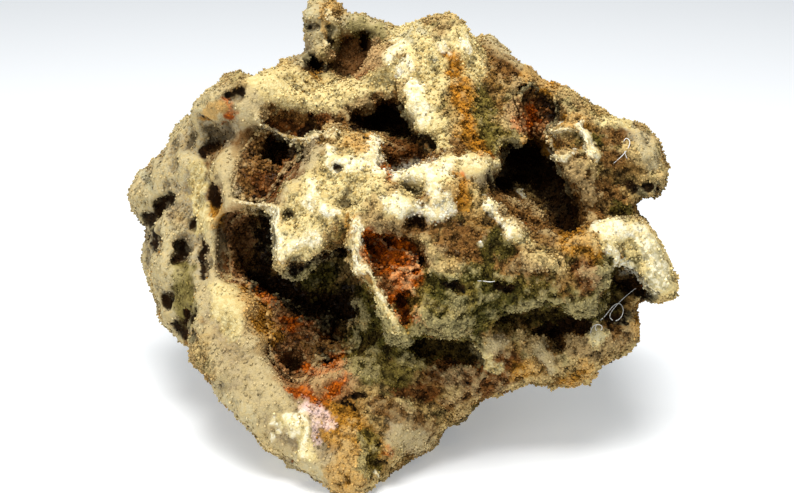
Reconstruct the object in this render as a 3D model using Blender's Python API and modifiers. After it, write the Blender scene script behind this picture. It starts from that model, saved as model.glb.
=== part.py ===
"""A palm-sized geode: one rugged rock, hollowed by deep pockets with thin rims.

The rock is laid out as it is seen from its best side. A viewer stands VIEW_DISTANCE
away and looks down on it by LOOK_DOWN. Each place is (across, up, toward) in
millimetres: to the right, upwards and towards the viewer from the rock's middle.
"""
import math

import bmesh
import bpy
from mathutils import Matrix, Vector

MM = 0.001
WELD = 1e-5

# Layout frame
VIEW_DISTANCE = 250.0
LOOK_DOWN = math.radians(20)
MIDDLE = Vector((0.0, 0.0, 41.0))
ACROSS = Vector((1.0, 0.0, 0.0))
UPWARD = Vector((0.0, math.sin(LOOK_DOWN), math.cos(LOOK_DOWN)))
TOWARD = Vector((0.0, -math.cos(LOOK_DOWN), math.sin(LOOK_DOWN)))

# Fineness of the sculpting steps and of the finished solid
MASS_VOXEL = 1.3
CUTTER_VOXEL = 1.0
PIT_VOXEL = 0.6
SKIN_VOXEL = 0.9
EVEN_TRIANGLES = 10600
ROCK_TRIANGLES = 7800
FLOOR_BLOCK = 300.0

# Depths past everything: of the cutters' open ends and of the outline's prism
POCKET_FACE = 40.0
NEAR_END = 70.0
FAR_END = -90.0

# The crystals that line some hollows: how high they climb in each pocket, triangles
CRUSTS = {
    "druse_main_hollow": ({"main_hollow": 11.0, "main_hollow_floor": 2.6}, 1000),
    "druse_upper_pocket": ({"upper_pocket": 3.6}, 400),
    "druse_rust_pocket": ({"rust_pocket": 2.4}, 350),
    "druse_round_pocket": ({"round_pocket": 5.0}, 350),
}
CRUST_VOXEL = 0.6
CRUST_CLOSING_VOXEL = 0.42
CRUST_ROOT = 3.0
CRUST_GAP = 0.6
CRUST_THICKNESS = 1.4
CRYSTAL_SIZE = 3.4
CRYSTAL_DEPTH = 2.2
CRYSTAL_LEVEL = 0.4
CRUST_BORDER_SIZE = 3.0
CRUST_BORDER_DEPTH = 3.0

# Colours, each with its roughness
FINISHES = {
    "rock": ((0.36, 0.26, 0.15), 0.9),
    "druse_main_hollow": ((0.21, 0.10, 0.04), 0.75),
    "druse_upper_pocket": ((0.17, 0.09, 0.04), 0.75),
    "druse_rust_pocket": ((0.46, 0.15, 0.03), 0.7),
    "druse_round_pocket": ((0.28, 0.12, 0.06), 0.75),
}

# The rock's whole outline, clockwise from the small knob at the upper left
OUTLINE = [
    (-20, 32.3), (-19.4, 34), (-17.2, 37.7), (-16.9, 40), (-16.4, 44), (-14, 45.6), (-11.5, 45.4),
    (-9.4, 42.5), (-8.4, 41.3), (-6.8, 41.7), (-3, 40.2), (0.5, 38.7), (2.2, 40.2), (6, 41),
    (8.6, 42.1), (12.4, 40.6), (13.6, 38), (14.4, 37.2), (16.4, 37.7), (19, 36), (20.6, 33.8),
    (24, 31.5), (26.3, 29.2), (29.8, 28), (32.4, 26.2), (35.8, 24.3), (39, 23.2), (43, 23.1),
    (46, 20.4), (46.8, 17.6), (48.4, 11), (47, 9.5), (44, 9.3), (42.6, 8.8), (41.2, 9.3),
    (42.4, 5.1), (43.4, 4.9), (45.9, 2.6), (46.4, 0.2), (48.6, -1.6), (49.8, -4.4), (50.3, -8.2),
    (48.8, -9.4), (47, -10.3), (44.6, -9.2), (42.4, -9.1), (41.9, -10.6), (42.6, -12.6),
    (44, -14.2), (44.1, -16.2), (41, -18), (40.2, -19.4), (38, -20), (35.5, -21.6), (34.8, -23.8),
    (33, -24.6), (30.2, -24.9), (27, -24.3), (22.4, -24.3), (20, -25.9), (16.6, -26.6),
    (13, -28), (12.2, -29.4), (11.6, -31.3), (8, -32.2), (6.9, -33.6), (7.2, -35.6), (5.6, -36.5),
    (2, -37.5), (-0.6, -40.8), (-3.8, -43.8), (-8, -45), (-11.4, -44), (-14.4, -42), (-19, -39.9),
    (-21, -37.4), (-25.8, -34.6), (-27.4, -31.3), (-31, -28.6), (-32.6, -25.4), (-33.4, -23.8),
    (-36, -21.6), (-37.2, -17.7), (-39.4, -16.8), (-42, -13.5), (-43, -10.6), (-43.4, -6.4),
    (-46, -2.8), (-46.1, 0.6), (-45.7, 4.2), (-47.6, 6), (-47.9, 9.6), (-46.6, 13.6), (-43, 15.2),
    (-41, 17.9), (-39.4, 21.6), (-36.6, 25.2), (-33.8, 27.2), (-31.4, 28.9), (-31, 30.8),
    (-29.6, 31.2), (-27, 30.2), (-25.4, 29.7), (-22.6, 31.3),
]

# Rounded masses: (across, up, toward), (half width, half height, half depth), turn in degrees
BODY_LUMPS = {
    "heart": ((3, -1, -21), (39, 26, 24), 0),
    "left_flank": ((-21, 3, -33), (25, 26, 21), 0),
    "left_knob": ((-42.5, 9.5, -34), (6, 6.5, 9), 0),
    "left_cheek": ((-37, 14, -31), (7, 12, 11), -30),
    "left_low": ((-36.5, -6, -29), (9, 13, 14), 10),
    "shoulder_knob": ((-29.8, 28, -31), (3.2, 3.4, 5), 0),
    "upper_back": ((-4, 22, -30), (26, 14, 17), 0),
    "crest_back": ((10, 27, -19), (13, 12, 13), 0),
    "right_back": ((27, 8, -25), (19, 17, 18), 0),
    "back": ((2, 2, -38), (26, 21, 12), 0),
    "belly": ((10, -17, -16), (29, 11.5, 17), 0),
    "right_belly": ((35, -16, -10), (10, 9.5, 11), 15),
    "foot": ((-4, -30, -14), (15, 13, 18), 0),
    "back_foot": ((7, -27, -27), (9, 8, 11), 0),
    "arm_tip": ((41.5, 15, -13), (8, 8.5, 9), -10),
    "horn": ((-14, 39, -34), (4, 8, 5), 8),
    "horn_wall": ((-6, 34, -37), (9, 8.5, 9), 0),
}

# The far side is laid out in the world instead: (right, back, height), half sizes in mm
FAR_LUMPS = [
    ((-35, 32, 45), (12, 9, 12)),
    ((-14, 39, 52), (14, 8, 10)),
    ((13, 39, 36), (12, 9, 13)),
    ((33, 31, 47), (12, 9, 12)),
    ((-25, 35, 26), (12, 8, 9)),
    ((5, 35, 63), (13, 9, 8)),
    ((27, 23, 61), (10, 10, 7)),
    ((46, 14, 45), (6, 9, 7)),
    ((-6, 36, 22), (11, 8, 9)),
    ((34, 29, 29), (9, 9, 7)),
    ((-44, 30, 38), (7, 8, 6)),
    ((-30, 26, 62), (9, 9, 6)),
    ((-2, 19, 11), (19, 19, 14)),
]
FAR_POCKETS = [
    ((-23, 45, 42), (7, 8, 4.5)),
    ((22, 44, 51), (5, 8, 6)),
    ((-2, 47, 36), (4.5, 8, 6)),
    ((40, 37, 36), (6, 6, 4)),
    ((-45, 33, 33), (6, 8, 5)),
    ((12, 33, 72), (6, 6, 6)),
    ((56, 20, 33), (8, 6, 4)),
    ((49, 29, 53), (6, 6, 6)),
    ((-17, 31, 66), (6, 7, 6)),
    ((-50, 12, 52), (5, 5, 4)),
    ((10, 46, 22), (6, 8, 4)),
    ((-38, 41, 52), (4, 7, 3)),
]

# What lies behind the mouth of the deep hole, level with it: its middle and half sizes
CAVERN = ((25.0, 18.0, 50.0), (7.5, 14.0, 6.5))

# Hollowed from below, so that the rock stands on its foot alone
UNDERCUTS = [
    ((52, 25, -12), (41, 60, 33)),
    ((-54, 24, -12), (43, 56, 30)),
    ((0, 68, -8), (60, 29, 26)),
]

# Masses with their own edge: outline, depth of the face at its middle, depth of the
# back, rise and lean of the face in mm per mm upwards and to the right, edge rounding
BODY_BLOCKS = {
    "rind_band": (
        [(-21, 31), (-26, 28), (-30, 20), (-32.6, 9), (-34.4, -2), (-36.6, -12), (-37, -20),
         (-33, -26), (-27, -33), (-20, -39), (-12, -44), (-6, -45), (-6, -38), (-12, -31), (-18, -26),
         (-23, -20), (-25, -13), (-28, -7), (-31, -1), (-31, 5), (-28, 9), (-28, 17), (-24, 22)],
        -3.0, -26.0, -0.20, 0.25, 3.0),
    "upper_shelf": (
        [(-27, 27), (-23, 31), (-19, 32.5), (-13, 31.8), (-9, 31.5), (-5, 33), (-1, 34), (1, 29),
         (0, 24), (-4, 21), (-12, 20.6), (-18, 20), (-23, 21.5), (-28, 23)],
        -12.0, -36.0, -1.10, 0.0, 2.5),
    "upper_slope": (
        [(12.5, 38), (16.4, 37.8), (20, 35), (26, 29.6), (30, 28.2), (36, 24.4), (35.5, 20),
         (33, 17), (28, 16.5), (24, 17.8), (20.5, 18.6), (19.4, 15.2), (14.5, 13.5), (11, 17),
         (12.5, 23), (11.5, 31)],
        -6.5, -34.0, -0.60, -0.15, 2.5),
    "low_front": (
        [(-16, -30), (-8, -29), (-1, -30.5), (5, -32.5), (7.4, -34), (7.2, -36), (2, -38),
         (-2, -42), (-6, -45), (-12, -44), (-18, -39)],
        1.0, -20.0, -0.15, -0.30, 2.0),
    "low_band": (
        [(-13, -20), (-4, -19.5), (4, -19.5), (12, -20.5), (18, -21), (24, -20), (28, -17),
         (34, -17), (41, -15), (43.6, -16), (40, -19.5), (35, -23.5), (28, -24.4), (20, -26),
         (13, -28.2), (8, -31.6), (0, -31), (-10, -31), (-16, -27)],
        -1.0, -24.0, 0.10, -0.10, 3.0),
    "arm": (
        [(32, 26), (38, 23.6), (43.4, 23.2), (46.4, 20), (48.5, 11), (46.5, 9.6), (41.2, 9.2),
         (42.4, 5), (39.5, 3.8), (36, 5), (34, 7), (35, 13), (33.5, 19)],
        -6.0, -22.0, 0.0, -0.45, 2.5),
}

# Pockets cut in the body before the front masses are set over them:
# outline, depth of the bottom at its middle, rise and lean of the bottom, rounding
BODY_POCKETS = {
    "main_hollow": (
        [(-31.5, 1), (-30.5, 5), (-28, 6.8), (-23.5, 6.8), (-18, 5.5), (-12, 3), (-6, 1), (-3, -5),
         (0, -12), (0, -16), (-4, -17.5), (-9, -17.5), (-15, -14.5), (-21, -10.5), (-27, -8),
         (-31, -5)],
        -28.0, 0.0, 0.0, 3.0),
    "main_hollow_floor": (
        [(-30, -4), (-20, -8), (-12, -12), (-4, -17), (-7, -19.5), (-12, -21), (-17, -24),
         (-21, -21.5), (-24.5, -16), (-27, -9), (-31, -5)],
        -10.0, -0.75, 0.0, 2.5),
    "upper_pocket": (
        [(-29, 9), (-28.8, 14), (-27.5, 18), (-25, 20.6), (-22, 20.2), (-16, 18.8), (-15, 17.5),
         (-18, 13), (-20.5, 10), (-23, 8)],
        -12.5, 0.0, -0.35, 2.0),
    "upper_pocket_depth": (
        [(-23.6, 19), (-19, 19), (-14.6, 18.6), (-15.6, 15.6), (-19.6, 11.6), (-22.8, 13.6)],
        -25.0, 0.0, 0.0, 1.5),
    "shelf_groove": (
        [(-24.5, 23), (-20, 24.8), (-14, 24.4), (-8, 23.4), (-3, 25.4), (0.6, 25), (2.8, 20.8),
         (1, 19), (-5, 20), (-12, 20.4), (-18, 19.6), (-22.4, 21)],
        -16.0, 0.0, -0.10, 1.5),
    "horn_bowl": (
        [(-11.5, 37), (-9, 39.2), (-4, 38.6), (0, 37.6), (2, 34), (-1, 30), (-5, 29), (-9, 29),
         (-12.5, 32.5), (-11.6, 34.6)],
        -38.5, 0.0, -0.15, 2.0),
}

# Masses that stand in front of the hollows and overhang them
FRONT_BLOCKS = {
    "cream_lobe": (
        [(-22.6, 7), (-22.8, 3), (-22, -1.5), (-21.6, -3.8), (-19.4, -5), (-17.4, -3.2),
         (-13.8, -2.2), (-11.4, 0), (-8.4, 0.8), (-6, 3), (-4, 10), (-3.2, 19.4), (-8, 20),
         (-13.8, 19), (-17, 15.2), (-19.4, 11.8), (-21.6, 9.4)],
        6.5, -7.0, -0.28, 0.0, 2.0),
    "lobe_root": (
        [(-15.5, 8), (-12.4, 14), (-8, 18), (-1, 18.4), (6, 17), (8, 8), (0, 3), (-8, 3.4),
         (-12.6, 4.6)],
        -1.0, -24.0, -0.20, 0.0, 2.0),
    "central_mass": (
        [(-8, 4), (-3, 6), (5, 6), (12, 7), (16, 8), (20, 4), (26, 1.6), (33, 2.4), (38, 0),
         (38.6, -6), (36.4, -10.5), (34.4, -12.4), (31, -11.6), (26, -10), (19, -12), (14, -15.4),
         (9, -15.6), (3, -17.2), (-1, -16), (-2, -12), (-4.2, -8.6), (-7.2, -4.6), (-8, 0)],
        9.0, -18.0, -0.12, -0.12, 3.5),
    "ridge_plateau": (
        [(-7.6, 6), (-5, 11.6), (-1.4, 12.4), (3, 14), (9.6, 15.4), (14, 15.2), (18.6, 13.6),
         (16, 10), (18, 6), (12, 5), (4, 4.6), (-3, 4), (-7, 2)],
        9.0, -14.0, -0.35, -0.10, 2.0),
    "crest": (
        [(0.4, 39), (5, 41), (8.8, 42.3), (12.6, 40.4), (12.2, 34), (12.8, 26), (13.6, 19),
         (11, 15.6), (7.4, 16.8), (4, 20.6), (1.4, 23.4), (0.2, 26.4), (0.4, 30), (-2.6, 33.6),
         (-1, 36)],
        -5.0, -26.0, -0.55, 0.0, 2.0),
    "neck_wall": (
        [(28.4, 15), (31, 17.6), (35, 17), (37, 12), (37, 7), (35, 2), (31, 0.6), (32.6, 4),
         (32.4, 7), (31, 10)],
        1.0, -18.0, 0.0, -0.35, 1.5),
    "right_lobe": (
        [(35, 1), (38.4, 4.2), (43.4, 5), (46.2, 2.4), (46.6, -0.2), (49, -1.8), (50.4, -7),
         (49, -9.4), (46.8, -10.4), (44.4, -9), (41, -7), (38.6, -3.4)],
        1.0, -16.0, 0.0, -0.35, 2.0),
}

# Pockets cut through the front
FRONT_POCKETS = {
    "crest_side_wedge": (
        [(-5, 24.4), (-1.4, 26.4), (0.4, 26), (1.8, 22.8), (3.6, 20.2), (1.8, 18.8), (-1, 20),
         (-4.4, 20.2)],
        -26.0, 0.0, 0.0, 0.8),
    "deep_hole": (
        [(20.4, 18.2), (23.4, 17.4), (26.4, 15.6), (29.6, 13.6), (30.8, 10.6), (32.4, 6.6),
         (32.2, 4), (29.6, 3.2), (27.4, 4.4), (26.4, 6.8), (23.4, 8.6), (20.4, 10.2), (18, 9.4),
         (16.2, 10.6), (17.2, 12.8), (19.2, 14)],
        -12.0, 0.0, 0.0, 1.0),
    "hole_ledge": (
        [(16.2, 11.4), (21, 11), (26, 9), (30, 6), (33, 5), (33.2, 2.8), (30, 1.4), (26, 2.6),
         (22.4, 3.8), (19.6, 5.6), (17.4, 8)],
        -4.0, 0.45, -0.25, 1.0),
    "round_pocket": (
        [(20.6, 27.6), (23, 29.2), (26.4, 28.8), (29.2, 27), (29.8, 24.4), (28.6, 21.6),
         (27, 19.2), (24.4, 19), (22.4, 21), (21.6, 24)],
        -16.0, 0.20, -0.75, 1.5),
    "rust_pocket": (
        [(-6.2, 1.6), (-2, 2.4), (3, 0.6), (5.2, -2.6), (4.4, -5), (0, -5.8), (-4, -4.8),
         (-6, -3)],
        4.5, -0.9, 0.3, 1.2),
    "low_rust_pocket": (
        [(-0.6, -8.4), (2.4, -8.6), (4, -11.4), (3, -13.8), (0.6, -14.2), (-0.8, -12)],
        6.5, 0.0, 0.3, 1.0),
    "ridge_pocket": (
        [(-0.4, 11.2), (4.2, 11.4), (5, 9.4), (4.4, 8), (1.6, 8), (0, 9.6)],
        4.0, 0.3, 0.0, 0.8),
    "lobe_pocket": (
        [(-20.4, 4.6), (-19.8, 6.8), (-18.6, 6.6), (-18.4, 4.8), (-19.4, 3.2)],
        2.5, 0.0, 0.0, 0.6),
    "wedge_pocket": (
        [(-2.8, 18.8), (2.8, 18.2), (7, 17.2), (5, 15), (2, 13.4), (-0.4, 12.2), (-2, 13.4)],
        -8.0, 0.3, 0.0, 1.2),
    "channel_left": (
        [(1.6, -16.2), (5, -15.4), (9, -16), (13.6, -17.4), (17.4, -21.4), (12.6, -21),
         (7, -21.2), (3, -20)],
        -5.0, -0.8, 0.0, 1.0),
    "channel_right": (
        [(17, -12.2), (22, -11.2), (28, -10.4), (33, -12.6), (37.6, -10.6), (38.4, -6.4),
         (41.6, -7.8), (41.6, -11.6), (38.4, -13.2), (34, -14.6), (31, -17.6), (27, -17),
         (22, -14.8), (18, -14)],
        -6.0, -0.7, 0.0, 1.2),
    "lobe_underside": (
        [(38.2, -2.6), (41.4, -2.6), (43.8, -5), (45.4, -8), (43, -8.8), (40, -8), (38.4, -6)],
        -7.0, 0.6, 0.0, 0.8),
    "net_pocket": (
        [(28, 19), (29.2, 20), (30.4, 18.6), (30, 17), (28.6, 17)],
        -8.0, 0.0, 0.0, 0.6),
}

ALL_POCKETS = {**BODY_POCKETS, **FRONT_POCKETS}

# Small pits: place, half sizes, turn in degrees
PITS = [
    ((-43, 6.6, -22), (3.8, 1.7, 7), 42),
    ((-43.6, 1, -22), (1.3, 2.8, 6), 8),
    ((-38.5, -1, -17), (1.5, 4, 6), -12),
    ((-33.4, 18.2, -18), (3.2, 1.5, 6), 42),
    ((-32.6, 8.6, -10), (1.1, 4, 6), -4),
    ((-36.6, 12.4, -18), (0.8, 3.6, 5), -38),
    ((-36.9, 4.6, -16.5), (1.2, 1.3, 5), 0),
    ((-41, -10, -18), (0.9, 2.2, 5), -15),
    ((-37.2, -12.6, -14), (1.3, 2.4, 5), -20),
    ((-39, -15.4, -16), (2.8, 1.2, 5), -48),
    ((-29, 27.3, -11), (1.8, 1, 5), -10),
    ((-15.5, 39.8, -30), (1.5, 1.2, 4), 20),
    ((-12.3, 37.8, -30), (0.9, 2, 4), 0),
    ((-15, 32.8, -30), (2.4, 1.4, 7), 0),
    ((-5.2, 38, -35), (0.8, 1.7, 6), 0),
    ((10.4, 31.2, -10), (1.2, 1.1, 3), -30),
    ((6.3, 33.3, -9), (0.9, 0.7, 2.5), 0),
    ((14.4, 24.4, -5), (0.6, 1, 2.5), 0),
    ((-10.4, 13.8, 4), (0.6, 1.1, 2.5), 30),
    ((-3.8, 9.2, 9), (1.1, 1.4, 3), 0),
    ((-16.2, 3.6, 8), (0.7, 1.2, 2.5), 0),
    ((11.6, 3.4, 10), (1.8, 1, 2.5), 0),
    ((-4, -35.2, 4), (0.6, 1.3, 3), 0),
    ((-13.2, -19, -6), (1.7, 1.7, 7), 0),
    ((29, -16.6, -4), (3, 2, 6), -20),
    ((6.6, -31.6, 0), (1.1, 1.3, 3), 20),
]

# Thin rims and ridges: path, radius. They swell and shrink by RIM_SWING on their way and
# thin out to RIM_END at their ends
RIM_END = 0.6
RIM_SWING = 0.25
RIM_WAVES = 2.1
RIMS = {
    "shelf_lip": ([(-25.4, 22.8, -6), (-22.4, 21.1, -4.5), (-18, 19.4, -4), (-13, 20.3, -5),
                   (-9, 21, -7)], 0.75),
    "hollow_lip": ([(-29.4, 7.6, -8), (-26, 7.4, -7), (-23.6, 7.3, -6), (-22, 9, -5)], 0.8),
    "lobe_edge": ([(-22, 8, 3), (-22.4, 4, 5), (-21.8, 0, 6.5), (-20.4, -3.6, 7),
                   (-18.6, -3.6, 7)], 1.0),
    "rust_rim": ([(-3, 5, 10), (-6, 5.4, 10), (-7.6, 2.4, 10.5), (-7.6, -1.6, 11),
                  (-6, -4.8, 11), (-3.4, -8.4, 11), (-1.9, -12, 11), (-0.9, -15.2, 11)], 1.0),
    "ridge_line": ([(-3.6, 19, -1), (-3.4, 15, 2), (-2, 12.4, 5), (2, 13, 5.5), (6.4, 14.2, 5),
                    (10, 15.4, 4)], 1.0),
    "crest_edge": ([(-1.6, 34, -11), (1.4, 31, -8), (0.8, 26.6, -6), (2.6, 22, -3),
                    (6, 18.4, -1)], 1.0),
    "hole_rim": ([(15.6, 9.6, 5), (18, 6.4, 6), (20.4, 3.8, 7), (23, 1.6, 7.5)], 1.0),
    "brow": ([(19.6, 16.4, 0), (22, 19, -2), (26, 17.4, -3), (30, 16, -3), (33, 19, -5)], 1.0),
    "net_left": ([(27.4, 20.4, -5), (29.6, 21.2, -5), (32.4, 20.2, -5), (34.6, 21.8, -7)], 0.8),
    "net_right": ([(31, 18, -3), (33.6, 16.4, -3), (36.4, 14.2, -4)], 0.8),
    "lobe_rim": ([(37, 2, 1), (40.6, 0.6, 1.5), (43.6, -2.4, 1), (45.6, -6, 0), (47.6, -9, -2)],
                 1.1),
    "channel_edge": ([(13.6, -18.6, 1), (15.6, -20, 1), (17.8, -21.8, 0.5)], 0.6),
}

# Loose-looking lumps on the front: place, half sizes, turn
FRONT_LUMPS = [
    ((17.8, -17.6, -1), (2.4, 1.9, 3), 20),
    ((35.8, -16.2, 0), (1.9, 2.1, 2.5), 0),
    ((-1.4, -36.6, 2), (2.2, 2.2, 2.2), 0),
    ((33.4, -10.6, 3), (3, 2.4, 4), 20),
    ((-5, 3.4, 9), (3.4, 1.6, 3), 20),
    ((25.6, -2.4, 9), (3.2, 2.2, 3), 0),
    ((35.4, -5.2, 5), (3.2, 3, 4), 0),
    ((22, 1.8, 8), (2, 1.4, 2), 0),
    ((9.4, 10.4, 7), (2.8, 3.6, 3), 0),
    ((-12, -7.4, -15), (4.4, 2.6, 5), -25),
    ((-5.4, -13, -8), (2.6, 5, 6), 20),
]

# Relief of the skin: texture, size of its lumps, full depth at the front and on the far sides
MASS_RELIEF = [("CLOUDS", 11.0, 3.5, 12.0), ("VORONOI", 9.0, 2.0, 7.0)]
SKIN_RELIEF = [("VORONOI", 4.6, 2.2, 2.6), ("CLOUDS", 2.4, 1.3, 1.4)]

# Where the far sides begin, turned away from the viewer and behind this depth, and how
# gradually their relief sets in
FAR_SIDE_FACING = 0.45
FAR_SIDE_TURN = 0.6
FAR_SIDE_DEPTH = -4.0
FAR_SIDE_REACH = 10.0


def place(across, up, toward):
    """The world point of a place given as seen from the viewer, in mm."""
    spread = (VIEW_DISTANCE - toward) / VIEW_DISTANCE
    return MM * (MIDDLE + spread * (across * ACROSS + up * UPWARD) + toward * TOWARD)


def mesh_object(name, mesh):
    """A new object in the workshop collection."""
    obj = bpy.data.objects.new(name, mesh)
    workshop.objects.link(obj)
    return obj


def taken_from_curve(obj):
    """A curve object's solid as a closed mesh object; the curve goes."""
    depsgraph = bpy.context.evaluated_depsgraph_get()
    mesh = bpy.data.meshes.new_from_object(obj.evaluated_get(depsgraph))
    solid = mesh_object(obj.name + "_solid", mesh)
    bpy.data.objects.remove(obj)
    mould = bmesh.new()
    mould.from_mesh(mesh)
    bmesh.ops.remove_doubles(mould, verts=mould.verts, dist=WELD)
    bmesh.ops.recalc_face_normals(mould, faces=mould.faces)
    mould.to_mesh(mesh)
    mould.free()
    return solid


def block(name, outline, face, back, rounding, face_slope=(0, 0), back_slope=(0, 0), smooth=True):
    """A mass whose edge, seen by the viewer, is the outline.

    The slopes are in mm towards the viewer per mm upwards and per mm to the right.
    """
    middle_across = sum(point[0] for point in outline) / len(outline)
    middle_up = sum(point[1] for point in outline) / len(outline)
    curve = bpy.data.curves.new(name, "CURVE")
    curve.dimensions = "2D"
    curve.fill_mode = "BOTH"
    curve.extrude = (face - back) / 2 - rounding
    curve.bevel_depth = rounding
    curve.offset = -rounding
    curve.bevel_resolution = 2
    curve.resolution_u = 3
    curve.render_resolution_u = 0
    spline = curve.splines.new("BEZIER" if smooth else "POLY")
    points = spline.bezier_points if smooth else spline.points
    points.add(len(outline) - 1)
    for point, (across, up) in zip(points, outline):
        if smooth:
            point.co = (across, up, 0)
            point.handle_left_type = "AUTO"
            point.handle_right_type = "AUTO"
        else:
            point.co = (across, up, 0, 1)
    spline.use_cyclic_u = True
    obj = bpy.data.objects.new(name, curve)
    workshop.objects.link(obj)
    solid = taken_from_curve(obj)
    for vertex in solid.data.vertices:
        across, up, depth = vertex.co
        share = depth / (face - back) + 0.5
        face_shift, back_shift = [rise * (up - middle_up) + lean * (across - middle_across)
                                  for rise, lean in (face_slope, back_slope)]
        shift = share * face_shift + (1 - share) * back_shift
        vertex.co = place(across, up, (face + back) / 2 + depth + shift)
    return solid


def blocks(table):
    """Every block of a table."""
    return [block(name, outline, face, back, rounding, face_slope=(rise, lean))
            for name, (outline, face, back, rise, lean, rounding) in table.items()]


def pockets(table):
    """Cutters for every pocket of a table, open towards the viewer."""
    return [block(name, outline, POCKET_FACE, bottom, rounding, back_slope=(rise, lean))
            for name, (outline, bottom, rise, lean, rounding) in table.items()]


def lump(name, centre, half_sizes, turn):
    """An ellipsoid, turned in the plane that faces the viewer."""
    mould = bmesh.new()
    bmesh.ops.create_icosphere(mould, subdivisions=3, radius=1)
    turned = Matrix.Rotation(math.radians(turn), 3, "Z")
    for vertex in mould.verts:
        sized = Vector([co * half for co, half in zip(vertex.co, half_sizes)])
        across, up, toward = turned @ sized
        vertex.co = place(centre[0] + across, centre[1] + up, centre[2] + toward)
    mesh = bpy.data.meshes.new(name)
    mould.to_mesh(mesh)
    mould.free()
    return mesh_object(name, mesh)


def world_lump(centre, half_sizes):
    """An ellipsoid laid out in the world."""
    mould = bmesh.new()
    bmesh.ops.create_icosphere(mould, subdivisions=3, radius=1)
    for vertex in mould.verts:
        vertex.co = MM * (Vector(centre) + Vector([co * half for co, half
                                                   in zip(vertex.co, half_sizes)]))
    mesh = bpy.data.meshes.new("lump")
    mould.to_mesh(mesh)
    mould.free()
    return mesh_object("lump", mesh)


def rim(name, path, radius):
    """A thin rounded ridge along a path, thinner at its ends."""
    curve = bpy.data.curves.new(name, "CURVE")
    curve.dimensions = "3D"
    curve.bevel_depth = radius * MM
    curve.bevel_resolution = 2
    curve.use_fill_caps = True
    curve.resolution_u = 4
    curve.render_resolution_u = 0
    spline = curve.splines.new("BEZIER")
    spline.bezier_points.add(len(path) - 1)
    for number, (point, where) in enumerate(zip(spline.bezier_points, path)):
        point.co = place(*where)
        point.handle_left_type = "AUTO"
        point.handle_right_type = "AUTO"
        at_an_end = number in (0, len(path) - 1)
        swollen_by = RIM_SWING * math.sin(RIM_WAVES * number)
        point.radius = RIM_END if at_an_end else 1.0 + swollen_by
    obj = bpy.data.objects.new(name, curve)
    workshop.objects.link(obj)
    return taken_from_curve(obj)


def settled(obj):
    """Apply all of an object's modifiers."""
    depsgraph = bpy.context.evaluated_depsgraph_get()
    mesh = bpy.data.meshes.new_from_object(obj.evaluated_get(depsgraph))
    obj.modifiers.clear()
    obj.data = mesh
    return obj


def fused(name, objects, voxel):
    """One closed mesh over all the objects, which go."""
    mould = bmesh.new()
    for obj in objects:
        mould.from_mesh(obj.data)
        bpy.data.objects.remove(obj)
    mesh = bpy.data.meshes.new(name)
    mould.to_mesh(mesh)
    mould.free()
    whole = mesh_object(name, mesh)
    remesh = whole.modifiers.new("fuse", "REMESH")
    remesh.mode = "VOXEL"
    remesh.voxel_size = voxel * MM
    return settled(whole)


def cut(obj, tool, operation="DIFFERENCE"):
    """Boolean with another mesh, which goes."""
    boolean = obj.modifiers.new("cut", "BOOLEAN")
    boolean.operation = operation
    boolean.solver = "EXACT"
    boolean.object = tool
    settled(obj)
    bpy.data.objects.remove(tool)
    return obj


def single(obj):
    """Only the largest of the bodies that an object's mesh holds."""
    mould = bmesh.new()
    mould.from_mesh(obj.data)
    mould.verts.ensure_lookup_table()
    waiting = set(mould.verts)
    bodies = []
    while waiting:
        body = [waiting.pop()]
        for vertex in body:
            for edge in vertex.link_edges:
                neighbour = edge.other_vert(vertex)
                if neighbour in waiting:
                    waiting.remove(neighbour)
                    body.append(neighbour)
        bodies.append(body)
    bodies.sort(key=len)
    for body in bodies[:-1]:
        bmesh.ops.delete(mould, geom=body, context="VERTS")
    mould.to_mesh(obj.data)
    mould.free()
    return obj


def worn(obj, factor, rounds):
    """Rounded by wear."""
    smooth = obj.modifiers.new("wear", "SMOOTH")
    smooth.factor = factor
    smooth.iterations = rounds
    return settled(obj)


def toward_of(point):
    """How far a world point lies towards the viewer, in mm."""
    return (point / MM - MIDDLE).dot(TOWARD)


def roughened(obj, relief):
    """Cloudy relief, deeper on the sides that the viewer doesn't face."""
    front = obj.vertex_groups.new(name="front")
    far = obj.vertex_groups.new(name="far")
    for vertex in obj.data.vertices:
        turned = (FAR_SIDE_FACING - vertex.normal.dot(TOWARD)) / FAR_SIDE_TURN
        behind = (FAR_SIDE_DEPTH - toward_of(vertex.co)) / FAR_SIDE_REACH
        share = max(0.0, min(1.0, turned)) * max(0.0, min(1.0, behind))
        far.add([vertex.index], share, "REPLACE")
        front.add([vertex.index], 1.0 - share, "REPLACE")
    for kind, size, front_depth, far_depth in relief:
        texture = bpy.data.textures.new("relief", kind)
        texture.noise_scale = size * MM
        for group, depth in ((front, front_depth), (far, far_depth)):
            displace = obj.modifiers.new("relief", "DISPLACE")
            displace.texture = texture
            displace.texture_coords = "LOCAL"
            displace.strength = depth * MM
            displace.mid_level = 0.5
            displace.vertex_group = group.name
    settled(obj)
    obj.vertex_groups.clear()
    return obj


def thinned(obj, triangles, only=None):
    """Fewer, larger facets, over all of an object or in one vertex group."""
    decimate = obj.modifiers.new("facets", "DECIMATE")
    decimate.ratio = triangles / sum(len(face.vertices) - 2 for face in obj.data.polygons)
    if only:
        decimate.vertex_group = only.name
    return settled(obj)


def far_thinned(obj, triangles):
    """Larger facets on the sides that the viewer doesn't face."""
    far = obj.vertex_groups.new(name="far")
    turned_away = [vertex.index for vertex in obj.data.vertices if vertex.normal.dot(TOWARD) < 0]
    far.add(turned_away, 1.0, "REPLACE")
    thinned(obj, triangles, far)
    obj.vertex_groups.clear()
    return obj


def displaced(obj, texture, strength, middle, voxel):
    """An object with a texture's relief, closed afresh."""
    displace = obj.modifiers.new("relief", "DISPLACE")
    displace.texture = texture
    displace.texture_coords = "LOCAL"
    displace.strength = strength * MM
    displace.mid_level = middle
    return fused(obj.name, [settled(obj)], voxel)


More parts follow.
